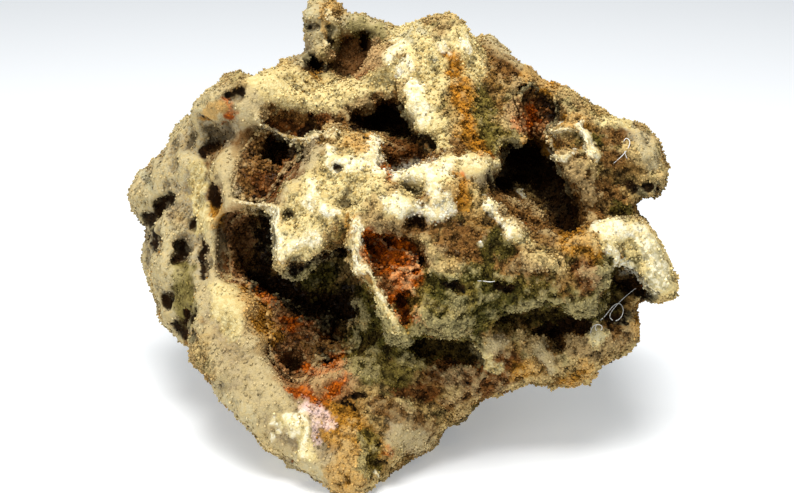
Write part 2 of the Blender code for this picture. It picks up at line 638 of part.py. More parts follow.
def swollen(obj, growth):
    """A closed copy that stands off an object's surface all over."""
    copy = mesh_object("swollen", obj.data.copy())
    displace = copy.modifiers.new("growth", "DISPLACE")
    displace.strength = growth * MM
    displace.mid_level = 0.0
    return fused("swollen", [settled(copy)], CRUST_VOXEL)


def lining(obj):
    """A layer of crystals all over an object, clear of it."""
    crystals = bpy.data.textures.new("crystals", "VORONOI")
    crystals.noise_scale = CRYSTAL_SIZE * MM
    layer = swollen(obj, CRUST_GAP + CRUST_THICKNESS)
    layer = displaced(layer, crystals, -CRYSTAL_DEPTH, CRYSTAL_LEVEL, CRUST_VOXEL)
    return cut(layer, swollen(obj, CRUST_GAP))


def crust(name, heights, triangles):
    """The crystals of one hollow: the layer's part inside its pockets."""
    clouds = bpy.data.textures.new("border", "CLOUDS")
    clouds.noise_scale = CRUST_BORDER_SIZE * MM
    regions = []
    for pocket, height in heights.items():
        outline, bottom, rise, lean, _ = ALL_POCKETS[pocket]
        regions.append(block(pocket, outline, bottom + height, bottom - CRUST_ROOT,
                             CRUST_VOXEL, (rise, lean), (rise, lean)))
    piece = fused(name, regions, CUTTER_VOXEL)
    piece = displaced(piece, clouds, CRUST_BORDER_DEPTH, 0.5, CUTTER_VOXEL)
    cut(piece, mesh_object("layer", crystal_layer.data.copy()), "INTERSECT")
    piece = single(fused(name, [piece], CRUST_CLOSING_VOXEL))
    return thinned(piece, triangles)


def finish(obj):
    """A part's own material, and its place in the finished collection."""
    colour, roughness = FINISHES[obj.name]
    material = bpy.data.materials.new(obj.name)
    material.use_nodes = True
    shader = material.node_tree.nodes["Principled BSDF"]
    shader.inputs["Base Color"].default_value = (*colour, 1.0)
    shader.inputs["Roughness"].default_value = roughness
    shader.inputs["Metallic"].default_value = 0.0
    obj.data.materials.clear()
    obj.data.materials.append(material)
    workshop.objects.unlink(obj)
    parts.objects.link(obj)


def floor_block():
    """All that lies under the resting surface."""
    bpy.ops.mesh.primitive_cube_add(size=FLOOR_BLOCK * MM, location=(0, 0, -FLOOR_BLOCK * MM / 2))
    return bpy.context.object


for old in list(bpy.data.objects):
    bpy.data.objects.remove(old)
workshop = bpy.data.collections.new("workshop")
bpy.context.scene.collection.children.link(workshop)
parts = bpy.data.collections.new("geode")
bpy.context.scene.collection.children.link(parts)

# The body, its hollows, and the masses in front of them
body = fused("body", [lump(name, *values) for name, values in BODY_LUMPS.items()]
             + blocks(BODY_BLOCKS) + [world_lump(*values) for values in FAR_LUMPS], MASS_VOXEL)
cut(body, fused("far_pockets", [world_lump(*values) for values in FAR_POCKETS], CUTTER_VOXEL))
cut(body, fused("undercuts", [world_lump(*values) for values in UNDERCUTS], MASS_VOXEL))
cut(body, fused("body_pockets", pockets(BODY_POCKETS), CUTTER_VOXEL))
rock = fused("rock", [body] + blocks(FRONT_BLOCKS), MASS_VOXEL)
worn(rock, 0.5, 3)
rock = fused("rock", [roughened(rock, MASS_RELIEF)], MASS_VOXEL)
cut(rock, fused("front_pockets", pockets(FRONT_POCKETS) + [world_lump(*CAVERN)], CUTTER_VOXEL))
cut(rock, block("outline", OUTLINE, NEAR_END, FAR_END, 0.0, smooth=False), "INTERSECT")
rims = [rim(name, *values) for name, values in RIMS.items()]
lumps = [lump("lump", *values) for values in FRONT_LUMPS]
rock = fused("rock", [rock] + rims + lumps, SKIN_VOXEL)
cut(rock, fused("pits", [lump("pit", *values) for values in PITS], PIT_VOXEL))
worn(rock, 0.5, 2)
rock = single(fused("rock", [roughened(rock, SKIN_RELIEF)], SKIN_VOXEL))
thinned(rock, EVEN_TRIANGLES)
far_thinned(rock, ROCK_TRIANGLES)
cut(rock, floor_block())
crystal_layer = lining(rock)
crusts = [crust(name, *values) for name, values in CRUSTS.items()]
bpy.data.objects.remove(crystal_layer)
for part in [rock] + crusts:
    finish(part)
bpy.data.collections.remove(workshop)
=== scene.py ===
"""The looks of a palm-sized geode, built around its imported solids.

Places on the rock's front are given as the viewer sees them: (across, up) in millimetres
from the rock's middle, to the right and upwards.
"""

import math

import bpy
import numpy as np
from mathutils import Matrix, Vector, noise
from mathutils.bvhtree import BVHTree


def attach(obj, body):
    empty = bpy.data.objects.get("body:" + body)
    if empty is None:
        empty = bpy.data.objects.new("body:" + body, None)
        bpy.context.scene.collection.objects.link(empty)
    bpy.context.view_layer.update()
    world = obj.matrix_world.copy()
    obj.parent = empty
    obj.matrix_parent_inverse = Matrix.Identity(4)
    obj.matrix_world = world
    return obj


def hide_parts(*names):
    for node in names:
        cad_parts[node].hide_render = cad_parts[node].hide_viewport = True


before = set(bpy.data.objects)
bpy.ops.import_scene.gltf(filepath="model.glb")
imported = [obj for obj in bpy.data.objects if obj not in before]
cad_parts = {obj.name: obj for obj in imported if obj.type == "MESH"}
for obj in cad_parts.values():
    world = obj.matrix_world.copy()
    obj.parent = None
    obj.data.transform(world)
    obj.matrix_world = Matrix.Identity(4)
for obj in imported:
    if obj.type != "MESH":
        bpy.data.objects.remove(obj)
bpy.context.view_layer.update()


# The rock
# One natural piece of porous quartz and limonite. Its skin is sugary with small grains,
# its ridges are bare and pale, and iron has stained the hollows ochre and brown. Their
# near-black and the dark green under overhangs are mostly painted shade.

# The viewer looks down at the rock's middle from this distance. Lengths are in mm
# unless a comment says otherwise.
MM = 0.001
VIEW_DISTANCE = 250.0
LOOK_DOWN = math.radians(20)
MIDDLE = np.array((0.0, 0.0, 41.0))
ACROSS = np.array((1.0, 0.0, 0.0))
UPWARD = np.array((0.0, math.sin(LOOK_DOWN), math.cos(LOOK_DOWN)))
TOWARD = np.array((0.0, -math.cos(LOOK_DOWN), math.sin(LOOK_DOWN)))
EYE = MM * (MIDDLE + VIEW_DISTANCE * TOWARD)

FIRST_VOXEL = 0.8
ROCK_VOXEL = 0.46
KEPT_UNSEEN = 130000
ROCK_TRIANGLES = 195000
WELD = 0.001
FAR = 1e9
TINY = 1e-9
SEED = 7

# How deep behind the foremost surface a point may lie and still count as seen, and the
# depth over which it then fades from sight
SEEN_DEPTH = 0.8
SEEN_FADE = 2.2

# Evening rounds that tell a crevice, and a whole hollow, from the surface around it
FINE_ROUNDS = 5
BROAD_ROUNDS = 120

# Painted borders drift by noise: size and reach of each drift. A brush is full up to the
# first share of its radius and gone at the second.
WANDERS = ((3.0, 1.3), (1.1, 0.6))
BRUSH_EDGE = (0.2, 1.8)

# Where the viewer can't see, stains lie by noise: size of the patches, and the noise
# values from which they begin and at which they are full
UNSEEN_STAINS = {
    "sand": (16.0, 0.02, 0.35),
    "weathered": (13.0, 0.05, 0.40),
    "brown": (9.0, 0.10, 0.45),
    "ochre": (8.0, 0.25, 0.55),
    "olive": (10.0, 0.20, 0.50),
    "moss_and_painted_shade": (11.0, 0.35, 0.60),
    "cream": (9.0, 0.25, 0.60),
    "rust": (7.0, 0.45, 0.70),
    "black_and_painted_shade": (6.0, 0.50, 0.70),
}
UNSEEN_SPACING = 7.3
UNSEEN_ROUGHNESS = 0.7
UNSEEN_DETAIL = 2.0
UNSEEN_LAYERS = 3

# Bare quartz stands out of the skin, and the darkest stains and the near-black, mostly painted
# shade, lie in pits
HEIGHTS = {"white": 0.4, "cream": 0.2, "lip": 0.9, "black_and_painted_shade": -1.3, "umber": -0.4, "rust": -0.2}

# How much less granular a stain's stone is
CALM = {"sand": 0.85, "weathered": 0.75, "white": 0.6, "cream": 0.4, "lip": 0.8, "clay": 0.6}
CALMEST = 0.9

# Lumps and pits of the skin: texture, size, height and where they lie
COARSE_RELIEF = (
    ("CLOUDS", 4.6, 1.0, ""),
    ("CLOUDS", 4.2, 1.4, "granular"),
    ("VORONOI", 3.4, 1.5, "pitted"),
    ("VORONOI", 2.2, -1.4, "granular"),
    ("CLOUDS", 1.7, 1.2, "granular"),
)
FINE_RELIEF = (
    ("VORONOI", 1.1, -0.7, "crumbly"),
    ("CLOUDS", 0.8, 0.3, ""),
)
PITTED_CREAM = 0.5
WEIGHT_STEPS = 16

# Grains differ in tone; the stone between them has this one
PLAIN_TONE = 0.3

# Stains and bare patches, painted with round brushes, with painted shade in the near-black and dark
# green: radius, path of (across, up)
STROKES = {
    "sand": [
        (2.6, [(-23, 30), (-27, 25), (-28.6, 19), (-30.4, 12), (-31, 6), (-32.4, 0), (-33, -5)]),
        (4.2, [(-32, -8), (-31, -14), (-29.5, -20), (-28, -25)]),
        (5.6, [(-27.5, -20), (-24, -27), (-19, -33), (-15, -38)]),
        (0.9, [(-29.6, 8.2), (-26, 7.7), (-23.4, 7.2)]),
        (1.8, [(-21.6, 9.6), (-18, 13), (-15, 17.6)]),
        (2.0, [(17.4, -17.6), (18.2, -18)]),
        (2.0, [(13, 14.5), (16, 13), (18.4, 14)]),
        (2.6, [(0, -33), (4, -35)]),
        (1.4, [(26, -18.4), (27.6, -20.6)]),
    ],
    "weathered": [
        (6.0, [(-44, 9), (-41, 13), (-38, 18), (-34, 24)]),
        (5.5, [(-44, 3), (-42, -5), (-40, -12)]),
        (3.0, [(-36.5, 12), (-36, 4), (-37, -4)]),
        (1.4, [(41, 21.6), (44.4, 19.4), (46, 15)]),
        (1.2, [(17, 37), (21, 33.6), (26, 30)]),
        (2.2, [(-15.5, 43), (-15, 38), (-17, 34)]),
        (1.6, [(-9, 40.4), (-3, 39.4)]),
        (1.6, [(-32, -26), (-29, -29.6), (-26, -32.4)]),
        (1.6, [(-18, -39.4), (-13, -42.4)]),
    ],
    "brown": [
        (3.2, [(-26.4, 18), (-26, 13), (-25, 10)]),
        (1.8, [(-23, 24), (-19, 23.4)]),
        (2.4, [(-23.6, 18.6), (-22.6, 15.4)]),
        (3.0, [(-21, 22.6), (-14, 23.6), (-8, 24), (-3, 27)]),
        (2.8, [(-29, -3), (-25, -3)]),
        (3.6, [(-22, -17), (-17, -19), (-13, -18)]),
        (2.4, [(3, 16.6), (8, 16.8), (12, 18)]),
        (2.2, [(-3, 3.6), (2, 4.2), (7, 4.2)]),
        (2.6, [(19, 8.4), (22, 6.8), (25, 4.4), (28, 2.8)]),
        (3.0, [(31, 13.4), (33, 10), (34.4, 7)]),
        (2.0, [(16, 35.6), (20, 32), (24, 29)]),
        (1.8, [(37, 19.4), (39.6, 20.4)]),
        (1.4, [(37.6, 16), (39.6, 15.4)]),
        (1.6, [(36, 11), (40, 8)]),
        (2.6, [(30, -16), (35, -18), (40, -15)]),
        (3.0, [(10, 1), (14, 0), (20, -3), (24, -6)]),
        (2.6, [(5, -8), (10, -10), (14, -8)]),
        (1.9, [(0.8, 10), (3.8, 9)]),
        (1.2, [(29, 18.4)]),
        (1.2, [(-36.6, 10), (-34.4, 15.4), (-32.6, 18)]),
        (1.2, [(-32.8, 11), (-32.8, 5)]),
        # This stroke is a painted shadow line
        (1.4, [(-4, -28.6), (2, -30.4), (6, -32.6)]),
        (1.0, [(9, -28), (13, -27), (18, -25.4)]),
        (2.4, [(-9.6, -31), (-5, -34.6)]),
    ],
    "umber": [
        (2.0, [(-24.4, 12), (-21.6, 12), (-23.4, 9)]),
        (1.6, [(-20, 16.6), (-18.8, 14)]),
        (1.0, [(-24, 22.6), (-20, 21.6), (-17, 21)]),
        (1.3, [(-14.6, 23.6), (-13, 22.8)]),
        (3.0, [(-1, 17), (0, 14), (2, 16)]),
        (2.2, [(-4.4, 1.4), (0, 0.8), (4, -2)]),
        (2.6, [(34, -5), (36.6, -6)]),
        (1.6, [(26, 25), (27.6, 22.6)]),
        (3.2, [(8, -22), (14, -23.4), (20, -22)]),
        (2.6, [(-24, -14), (-19, -14), (-13, -15)]),
        (2.6, [(-4, -7), (0, -7.6), (4, -8)]),
        (1.2, [(30.4, 1.4), (32.4, 3)]),
        (1.6, [(0, -25), (6, -26.4)]),
    ],
    "clay": [
        (3.6, [(-8.4, 34), (-5, 35), (-7.4, 31.6)]),
        (3.0, [(-28.6, 4.4), (-28.2, 0.6)]),
        (3.0, [(22.6, 24), (24.4, 21.6), (26, 20.4)]),
        (2.2, [(-30, -5), (-27, -8.6)]),
        (3.4, [(-19, -22), (-14, -26), (-10, -25)]),
        (2.4, [(-24, -11.6), (-21, -12.6)]),
        (2.4, [(-21, -17.6), (-19, -20), (-17.6, -21.4)]),
    ],
    "rust": [
        (2.6, [(-4.4, -0.6), (-2, -2.6), (2, -3.6)]),
        (1.6, [(-5, 2), (-2, 0.6), (2, 0)]),
        (2.0, [(0, -5), (2.4, -6)]),
        (1.8, [(0, -9), (2.6, -10)]),
        (1.4, [(0.6, -12.4), (2, -13)]),
        (1.1, [(9.6, 35), (10.6, 31.4)]),
        (1.3, [(11.2, 29), (12.2, 25), (13, 22)]),
        (1.1, [(13.4, 20), (14.8, 17.8), (16.6, 16.4)]),
        (0.9, [(11.4, 13.6), (11.8, 10.4), (11.4, 8)]),
        (1.1, [(24, 24.6), (24.4, 20.8)]),
        (0.8, [(21.6, 23), (22.6, 21)]),
        (0.9, [(-17, -22), (-14, -22.6), (-11.6, -20.6), (-9.6, -19.6)]),
        (1.0, [(-12, -27), (-10, -24), (-9, -21)]),
        (0.8, [(-19, -26), (-15.6, -26.8), (-13, -29)]),
        (1.0, [(-20, -13), (-16, -14)]),
        (1.4, [(-1.6, -36.6)]),
        (0.9, [(-2.6, 13.6), (-1, 12)]),
        (1.2, [(-31, 26), (-30, 24)]),
        (1.6, [(-26, -7.4), (-23, -9.6)]),
    ],
    "ochre": [
        (2.0, [(10, 36.4), (10.4, 32), (11.4, 28.6), (12.4, 24.6), (12.6, 21), (15, 17.6)]),
        (1.8, [(9.4, 13), (11.6, 11), (11.6, 7.6)]),
        (1.8, [(-16.4, 30.6), (-14.6, 28.6)]),
        (1.2, [(-21, 31.4), (-18, 30.4)]),
        (1.4, [(-17.2, 10), (-16.2, 9)]),
        (1.2, [(-20.6, 4.6), (-19, 4)]),
        (1.4, [(-9, 6), (-8, 3)]),
        (1.8, [(-8.4, 18.4), (-5, 18.6)]),
        (2.2, [(-28, -9), (-25, -12), (-23, -16)]),
        (4.0, [(-10, -32), (-6, -37), (-9, -41)]),
        (1.3, [(33.6, -21), (34.4, -23), (31, -24)]),
        (1.3, [(43, -13.6), (43.8, -15.4)]),
        (1.6, [(22, -22.4), (24, -22)]),
        (2.2, [(31, 1), (35, 1.4), (36, -1)]),
        (0.9, [(38, 4), (37.4, 3.4)]),
        (0.9, [(47, -3), (48.4, -5)]),
        (1.5, [(-12, 43), (-12.6, 39)]),
        (1.6, [(20, 19.6), (24, 18.8), (27.6, 17.4)]),
        (1.2, [(31, 22.4), (34, 22)]),
        (1.6, [(-33, 7), (-33, 4)]),
        (1.4, [(-34, 24), (-31.6, 25)]),
        (1.6, [(24, 31), (28, 28.6)]),
    ],
    "olive": [
        (1.8, [(15.6, 27), (16, 22), (18, 19), (20.6, 19.6)]),
        (1.4, [(6.4, 33), (6.6, 32)]),
        (2.2, [(-15, -6.6), (-12, -7.6)]),
        (2.4, [(-5.4, -9), (-4.2, -13), (-6, -11)]),
        (2.2, [(-2.4, -12), (-3, -16), (2, -16)]),
        (2.4, [(-6, -21), (-1, -23), (3, -21)]),
        (1.5, [(-8, 39.8), (-3.4, 38.8)]),
        (2.2, [(10, -6), (16, -7.4), (22, -7)]),
        (1.8, [(-8, -20.6), (-3, -21)]),
        (3.6, [(6, -9.6), (12, -11.6), (18, -12)]),
        (2.0, [(-18.6, -5.8), (-15, -6.2), (-12, -5.6)]),
        (1.8, [(25, -7), (28, -9)]),
        (2.0, [(-38.6, -5), (-38.2, -9), (-38, -13)]),
        (1.9, [(-5.4, -34), (-5, -40)]),
    ],
    # Dark green: mostly painted shade in the band under the overhanging middle and in shaded hollows
    "moss_and_painted_shade": [
        (1.4, [(7, -8.6), (12, -10)]),
        (1.3, [(14, -12.4), (19, -11)]),
        (2.4, [(16, -9.6), (22, -11), (30, -12), (36, -10)]),
        (1.4, [(6, -13), (11, -14.4), (15, -14)]),
        (2.0, [(4, -16.6), (9, -17.4)]),
        (1.2, [(-6.4, -8), (-5, -12), (-3.6, -15)]),
        (1.6, [(-18, -6), (-14.4, -5), (-11, -4)]),
        (2.2, [(-7, -16), (-2, -18), (3, -17), (8, -17), (13, -18)]),
        (1.8, [(-5, -11), (-3, -14)]),
        (1.8, [(16.6, -1), (16.6, -4)]),
        (1.8, [(14, -5), (18, -8), (22, -9)]),
        (1.6, [(6, -5.6), (10, -6.6)]),
        (2.2, [(18, -10.4), (24, -11.6), (30, -12)]),
        (2.0, [(38, -4), (39, -7), (38.4, -10), (37, -12)]),
        (1.6, [(18, 1.2), (19.6, -0.6)]),
        (1.4, [(42, 1.2), (42.4, -2), (43, -3.6)]),
        (1.4, [(39.4, 6.4)]),
        (2.0, [(3, -17.4), (8, -18), (13, -19)]),
        (1.6, [(-2, -18), (2, -18.6)]),
        (1.2, [(39.6, 6.8), (41.4, 6.2)]),
        (1.0, [(35.6, 19.6), (37, 18.6)]),
    ],
    "cream": [
        (3.4, [(-18, 6), (-14, 10), (-9, 14)]),
        (3.0, [(-15, 4), (-10, 8), (-5, 12)]),
        (2.6, [(-20.4, 2), (-17, 0)]),
        (3.2, [(2, 38), (5, 35), (6, 30), (4, 26)]),
        (2.6, [(3, 25), (6, 22), (7, 19.6)]),
        (2.4, [(-31.4, -8), (-30.6, -12), (-29.4, -15)]),
        (2.4, [(11, 38), (13, 35), (14, 32)]),
        (2.8, [(-22, 28), (-17, 27), (-11, 27)]),
        (1.6, [(-26, 29.6), (-22, 31), (-17, 30)]),
        (1.8, [(-8, 28.6), (-2, 30), (-1, 32)]),
        (2.0, [(0, 7.6), (4, 12), (8, 12)]),
        (1.4, [(9.6, 15.4), (13, 15), (18, 14.8)]),
        (0.7, [(-4.6, -6), (-3, -9), (-1.6, -12.4), (0, -15)]),
        (0.7, [(28, 20.6), (31, 20.8), (34, 20), (36, 15.6)]),
        (0.6, [(28.4, 16.4), (31, 16)]),
        (2.8, [(38, 2), (42, 2), (45.6, -1), (47.6, -6)]),
        (1.2, [(22, 2), (23, 1)]),
        (1.0, [(37, 22.6), (42.4, 22.6)]),
        (1.0, [(13.6, -18.6), (15.6, -20), (17.8, -21.8)]),
        (1.6, [(-35.6, 14), (-36, 9), (-35.4, 4)]),
        (1.0, [(-11.6, 39), (-11.2, 36)]),
        (1.4, [(35.4, -14.8), (36.6, -16.6)]),
        (1.2, [(-20.6, -31), (-17.4, -33), (-16, -37)]),
        (1.4, [(-31, -9), (-29.6, -13)]),
    ],
    "white": [
        (1.0, [(-22.4, 6), (-22, 2), (-21.2, -1)]),
        (1.4, [(-20.4, -0.6), (-18, 0.8), (-15, 1.4)]),
        (1.1, [(-12, 17), (-11, 14), (-8, 15.4), (-5.6, 15.4), (-4, 18.4)]),
        (0.8, [(-16, 7.4), (-15, 11)]),
        (0.8, [(-14, 7), (-11, 6)]),
        (0.8, [(-7.4, 4.4), (-7.8, 0), (-6.8, -3.6), (-5.2, -5)]),
        (1.8, [(0.6, 13), (4, 13.6), (8, 14)]),
        (1.6, [(6.4, 11), (8, 8)]),
        (1.4, [(-1, 8), (2, 6.6), (6, 6.4), (9.4, 6.6)]),
        (0.9, [(-3.4, 13), (-4, 16), (-3.4, 19)]),
        (1.5, [(3, 29), (3.4, 26), (5, 23)]),
        (1.2, [(0.4, 36.6), (-1.4, 34)]),
        (1.0, [(8.4, 37), (9, 35.4)]),
        (1.0, [(12, 36.6), (13, 35)]),
        (0.9, [(2, 33.6), (1, 31.4)]),
        (1.0, [(16, 8), (17.4, 6), (19, 4), (20.6, 3.4)]),
        (0.5, [(20.6, 10.4), (23, 9)]),
        (0.5, [(27.6, 20.4), (30, 21), (32, 20.8)]),
        (0.6, [(33, 22.4), (33.4, 20), (34.6, 18), (36, 15.6)]),
        (0.5, [(28, 16.4), (30.4, 15.6), (32, 16.8)]),
        (1.6, [(36.6, 3), (40, 3.4), (44, 2.6)]),
        (1.6, [(44.6, 1), (46.6, -2), (47.4, -6)]),
        (0.9, [(38, -0.6), (41, -3), (44, -6.4), (46, -8.4)]),
        (0.55, [(-19.9, -30), (-19.2, -34.2)]),
        (0.4, [(-18.3, -30.4), (-18.2, -33.6)]),
        (0.5, [(-16.6, -29.6), (-16.6, -33.4), (-16.2, -37.4)]),
        (0.4, [(-22.4, -31), (-22.4, -35)]),
        (0.3, [(-21, -31.6), (-20.9, -33.6)]),
        # This spot is a painted glint
        (0.5, [(-4, -41.2)]),
        (0.5, [(15.4, -0.2)]),
    ],
    "lip": [
        (0.55, [(-25.4, 22.8), (-23.6, 21.6), (-22, 21), (-19.6, 19.5), (-16, 19.2), (-14, 19.8)]),
        (0.45, [(-14, 19.8), (-11, 20.6)]),
        (0.5, [(-29, 8.0), (-26, 7.4), (-23, 7.2)]),
        (0.6, [(-7.4, 4), (-7.9, 0), (-7, -3), (-5.4, -5)]),
        (0.3, [(-5.4, -5), (-3, -8), (-1.5, -11), (-1, -14.5)]),
        (0.5, [(28.4, 20.8), (31, 21.2), (34, 20.5), (34, 18), (35.6, 15.6)]),
        (0.5, [(27.6, 18), (28.6, 16.2), (31, 16.4)]),
        (0.5, [(-11.8, 42), (-11.6, 38.6), (-12.8, 36)]),
        (0.5, [(15.6, 7.6), (17.6, 6), (19.6, 4), (21.6, 3.8), (22.6, 2)]),
        (0.5, [(9.6, 15.6), (13.6, 15.2), (18.4, 14.6)]),
    ],
    "pink": [
        (1.0, [(-16.6, -28.4), (-14, -30.6), (-12.2, -32)]),
        (0.9, [(-14.8, -31.6), (-14.2, -35)]),
    ],
    "grey": [
        (0.3, [(44.4, 1.6), (46.2, -1), (47, -4), (46.4, -7)]),
        (0.3, [(45.6, 1.8), (47.5, -1), (48.4, -4.4), (47.8, -7.8)]),
        (0.3, [(43.2, 0.6), (44.8, -2), (45.6, -4.6), (45, -6.8)]),
        (0.6, [(2, 38.4), (2.4, 36.6)]),
        (0.6, [(6.4, 33.4)]),
        (0.5, [(3.6, 39.4), (5, 38)]),
        (0.6, [(-45.6, 13), (-44, 11)]),
        (0.8, [(35.6, -15), (36.4, -16.6)]),
        (0.7, [(-16, 43), (-16.4, 40.6)]),
    ],
    # The darkest paint: a few dark specks and cracks, and mostly painted shade in deep holes and
    # along the edges of overhangs
    "black_and_painted_shade": [
        (1.5, [(-24, 5), (-23.8, 0), (-24, -4)]),
        (2.2, [(-25, -6), (-20, -7)]),
        (2.6, [(-20, -8.6), (-15, -11), (-9, -11)]),
        (2.2, [(-12, -13), (-9.4, -9)]),
        (1.2, [(-19, 18), (-17.4, 16.4)]),
        (0.9, [(-17, 20.6), (-14, 21)]),
        (1.7, [(-7, 22), (-3, 22.4)]),
        (1.0, [(-19.0, -4.6), (-16, -3), (-12, -1.4), (-9.4, -0.6)]),
        (2.3, [(-1, 24), (1, 21.6)]),
        (0.9, [(2.6, 20), (4.6, 19.4), (6.4, 17.8)]),
        (3.0, [(22, 15.4), (25, 13), (28, 10), (30, 6.6)]),
        (2.6, [(26.6, 13.6), (29, 10.4), (30.4, 7)]),
        (1.5, [(17, 11.4), (20, 11)]),
        (2.2, [(21, 17), (24, 16)]),
        (1.5, [(29, 4.6), (31, 4)]),
        (1.0, [(27, 26.6), (28.8, 25), (28.4, 22.4)]),
        (0.6, [(22.4, 28.2), (25, 28.6)]),
        (1.3, [(26, -15), (30, -14.4), (34, -13.8)]),
        (1.4, [(38.6, -14), (40.4, -12.6)]),
        (1.2, [(9, -7), (12, -7)]),
        (1.0, [(18, -7), (20, -8)]),
        (1.1, [(39.6, -5.6), (42, -7), (46, -9.4)]),
        (1.0, [(42, 10.8), (44, 10.2), (47, 10.2)]),
        (0.9, [(4.4, -3.2)]),
        (1.0, [(2.4, 4.6), (4.2, 4.2)]),
        (1.0, [(-45, 4.6), (-43, 6.8), (-40.6, 9)]),
        (0.8, [(-44, 3.6), (-43.2, 0)]),
        (0.8, [(-39.4, -3), (-38.2, 0.4)]),
        (0.8, [(-34.8, 16.4), (-33, 19)]),
        (0.9, [(-33, 11.4), (-32.6, 8)]),
        (0.6, [(-34.7, -5), (-34.7, 0.6)]),
        (0.8, [(-36.9, 4.6)]),
        (0.8, [(-41, -9.2), (-41.2, -11)]),
        (0.8, [(-37, -11.6), (-37.4, -13.6)]),
        (1.0, [(-39.6, -14.4), (-37.6, -16)]),
        (0.7, [(-30.2, 27.5), (-28, 27.6)]),
        (0.9, [(-19.2, 6)]),
        (0.7, [(-10.4, 13.8)]),
        (0.9, [(-15.4, 39.6)]),
        (0.7, [(-12.2, 38.6), (-12, 37)]),
        (1.3, [(-16, 32.8), (-13.6, 32.2)]),
        (0.9, [(-5.4, 38.4), (-5.6, 36.6)]),
        (0.9, [(-13.4, -18.6), (-12.6, -20)]),
        (0.5, [(-10, -28), (-7.6, -29.4)]),
        (0.5, [(-9, -27.2), (-5.6, -27.2)]),
        (0.6, [(-3.8, -35)]),
    ],
}


def pick(obj):
    """Makes an object the only selected one, and the active one."""
    bpy.ops.object.select_all(action="DESELECT")
    obj.select_set(True)
    bpy.context.view_layer.objects.active = obj


def modify(obj, kind, **settings):
    """Applies one modifier to an object."""
    pick(obj)
    modifier = obj.modifiers.new("step", kind)
    for name, value in settings.items():
        setattr(modifier, name, value)
    bpy.ops.object.modifier_apply(modifier=modifier.name)


def copy_of(node, name):
    """A CAD node's form as a new closed mesh."""
    obj = bpy.data.objects.new(name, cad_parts[node].data.copy())
    bpy.context.scene.collection.objects.link(obj)
    obj.data.materials.clear()
    pick(obj)
    bpy.ops.object.mode_set(mode="EDIT")
    bpy.ops.mesh.select_all(action="SELECT")
    bpy.ops.mesh.remove_doubles(threshold=WELD * MM)
    bpy.ops.object.mode_set(mode="OBJECT")
    return obj


def triangle_count(obj):
    """How many triangles the faces of an object make."""
    return sum(len(face.vertices) - 2 for face in obj.data.polygons)


def relief(obj, kind, size, depth, group=""):
    """Raises or sinks a surface by a texture whose lumps have this size, in mm."""
    texture = bpy.data.textures.new(kind.lower(), kind)
    texture.noise_scale = size * MM
    modify(obj, "DISPLACE", texture=texture, texture_coords="LOCAL", mid_level=0.5,
           strength=depth * MM, vertex_group=group)


def vertex_places(obj):
    """All vertices as an array."""
    places = np.empty(len(obj.data.vertices) * 3)
    obj.data.vertices.foreach_get("co", places)
    return places.reshape(-1, 3)


def vertex_normals(obj):
    """All vertex normals as an array."""
    normals = np.empty(len(obj.data.vertices) * 3)
    obj.data.vertices.foreach_get("normal", normals)
    return normals.reshape(-1, 3)


def as_seen(places):
    """(across, up) of world points for the viewer."""
    offset = places / MM - MIDDLE
    spread = (VIEW_DISTANCE - offset @ TOWARD) / VIEW_DISTANCE
    return np.stack([offset @ ACROSS / spread, offset @ UPWARD / spread], axis=1)


def eased(value, low, high):
    """0 below low, 1 above high, smooth between."""
    share = np.clip((value - low) / (high - low), 0.0, 1.0)
    return share * share * (3 - 2 * share)


def in_sight(places, tree):
    """1 where nothing of the rock lies between a point and the viewer, to 0 deep behind it."""
    seen = np.zeros(len(places))
    eye = Vector(EYE)
    for number, place in enumerate(places):
        ray = Vector(place) - eye
        distance = tree.ray_cast(eye, ray.normalized())[3]
        hidden = 0.0 if distance is None else (ray.length - distance) / MM
        seen[number] = 1.0 - min(1.0, max(0.0, (hidden - SEEN_DEPTH) / SEEN_FADE))
    return seen


def distance_to(path, seen_places):
    """Distance of seen places from a path, in mm."""
    nearest = np.full(len(seen_places), FAR)
    for start, end in zip(path, path[1:] or path):
        start, along = np.array(start), np.subtract(end, start)
        share = np.clip((seen_places - start) @ along / max(along @ along, TINY), 0.0, 1.0)
        away = seen_places - start - share[:, None] * along
        nearest = np.minimum(nearest, np.hypot(away[:, 0], away[:, 1]))
    return nearest


def wandering(places):
    """As seen, shifted a little so that no painted border is straight."""
    drift = np.zeros((len(places), 2))
    for size, reach in WANDERS:
        points = (places / (size * MM)).tolist()
        drift += reach * np.array([noise.noise_vector(point)[:2] for point in points])
    return as_seen(places) + drift


def painted(places, sight):
    """How much of each stain lies on each point."""
    seen_places = wandering(places)
    full, gone = BRUSH_EDGE
    stains = {}
    for stain, strokes in STROKES.items():
        amount = np.zeros(len(places))
        for radius, path in strokes:
            away = distance_to(path, seen_places)
            amount = np.maximum(amount, 1.0 - eased(away, full * radius, gone * radius))
        stains[stain] = amount * sight
    for number, (stain, (size, low, high)) in enumerate(UNSEEN_STAINS.items()):
        points = (places / (size * MM) + number * UNSEEN_SPACING).tolist()
        amount = np.array([noise.fractal(point, UNSEEN_ROUGHNESS, UNSEEN_DETAIL, UNSEEN_LAYERS)
                           for point in points])
        stains[stain] = stains[stain] + eased(amount, low, high) * (1.0 - sight)
    return stains


def tree_of(obj):
    """The faces of an object, for rays."""
    return BVHTree.FromPolygons([vertex.co for vertex in obj.data.vertices],
                                [face.vertices for face in obj.data.polygons])


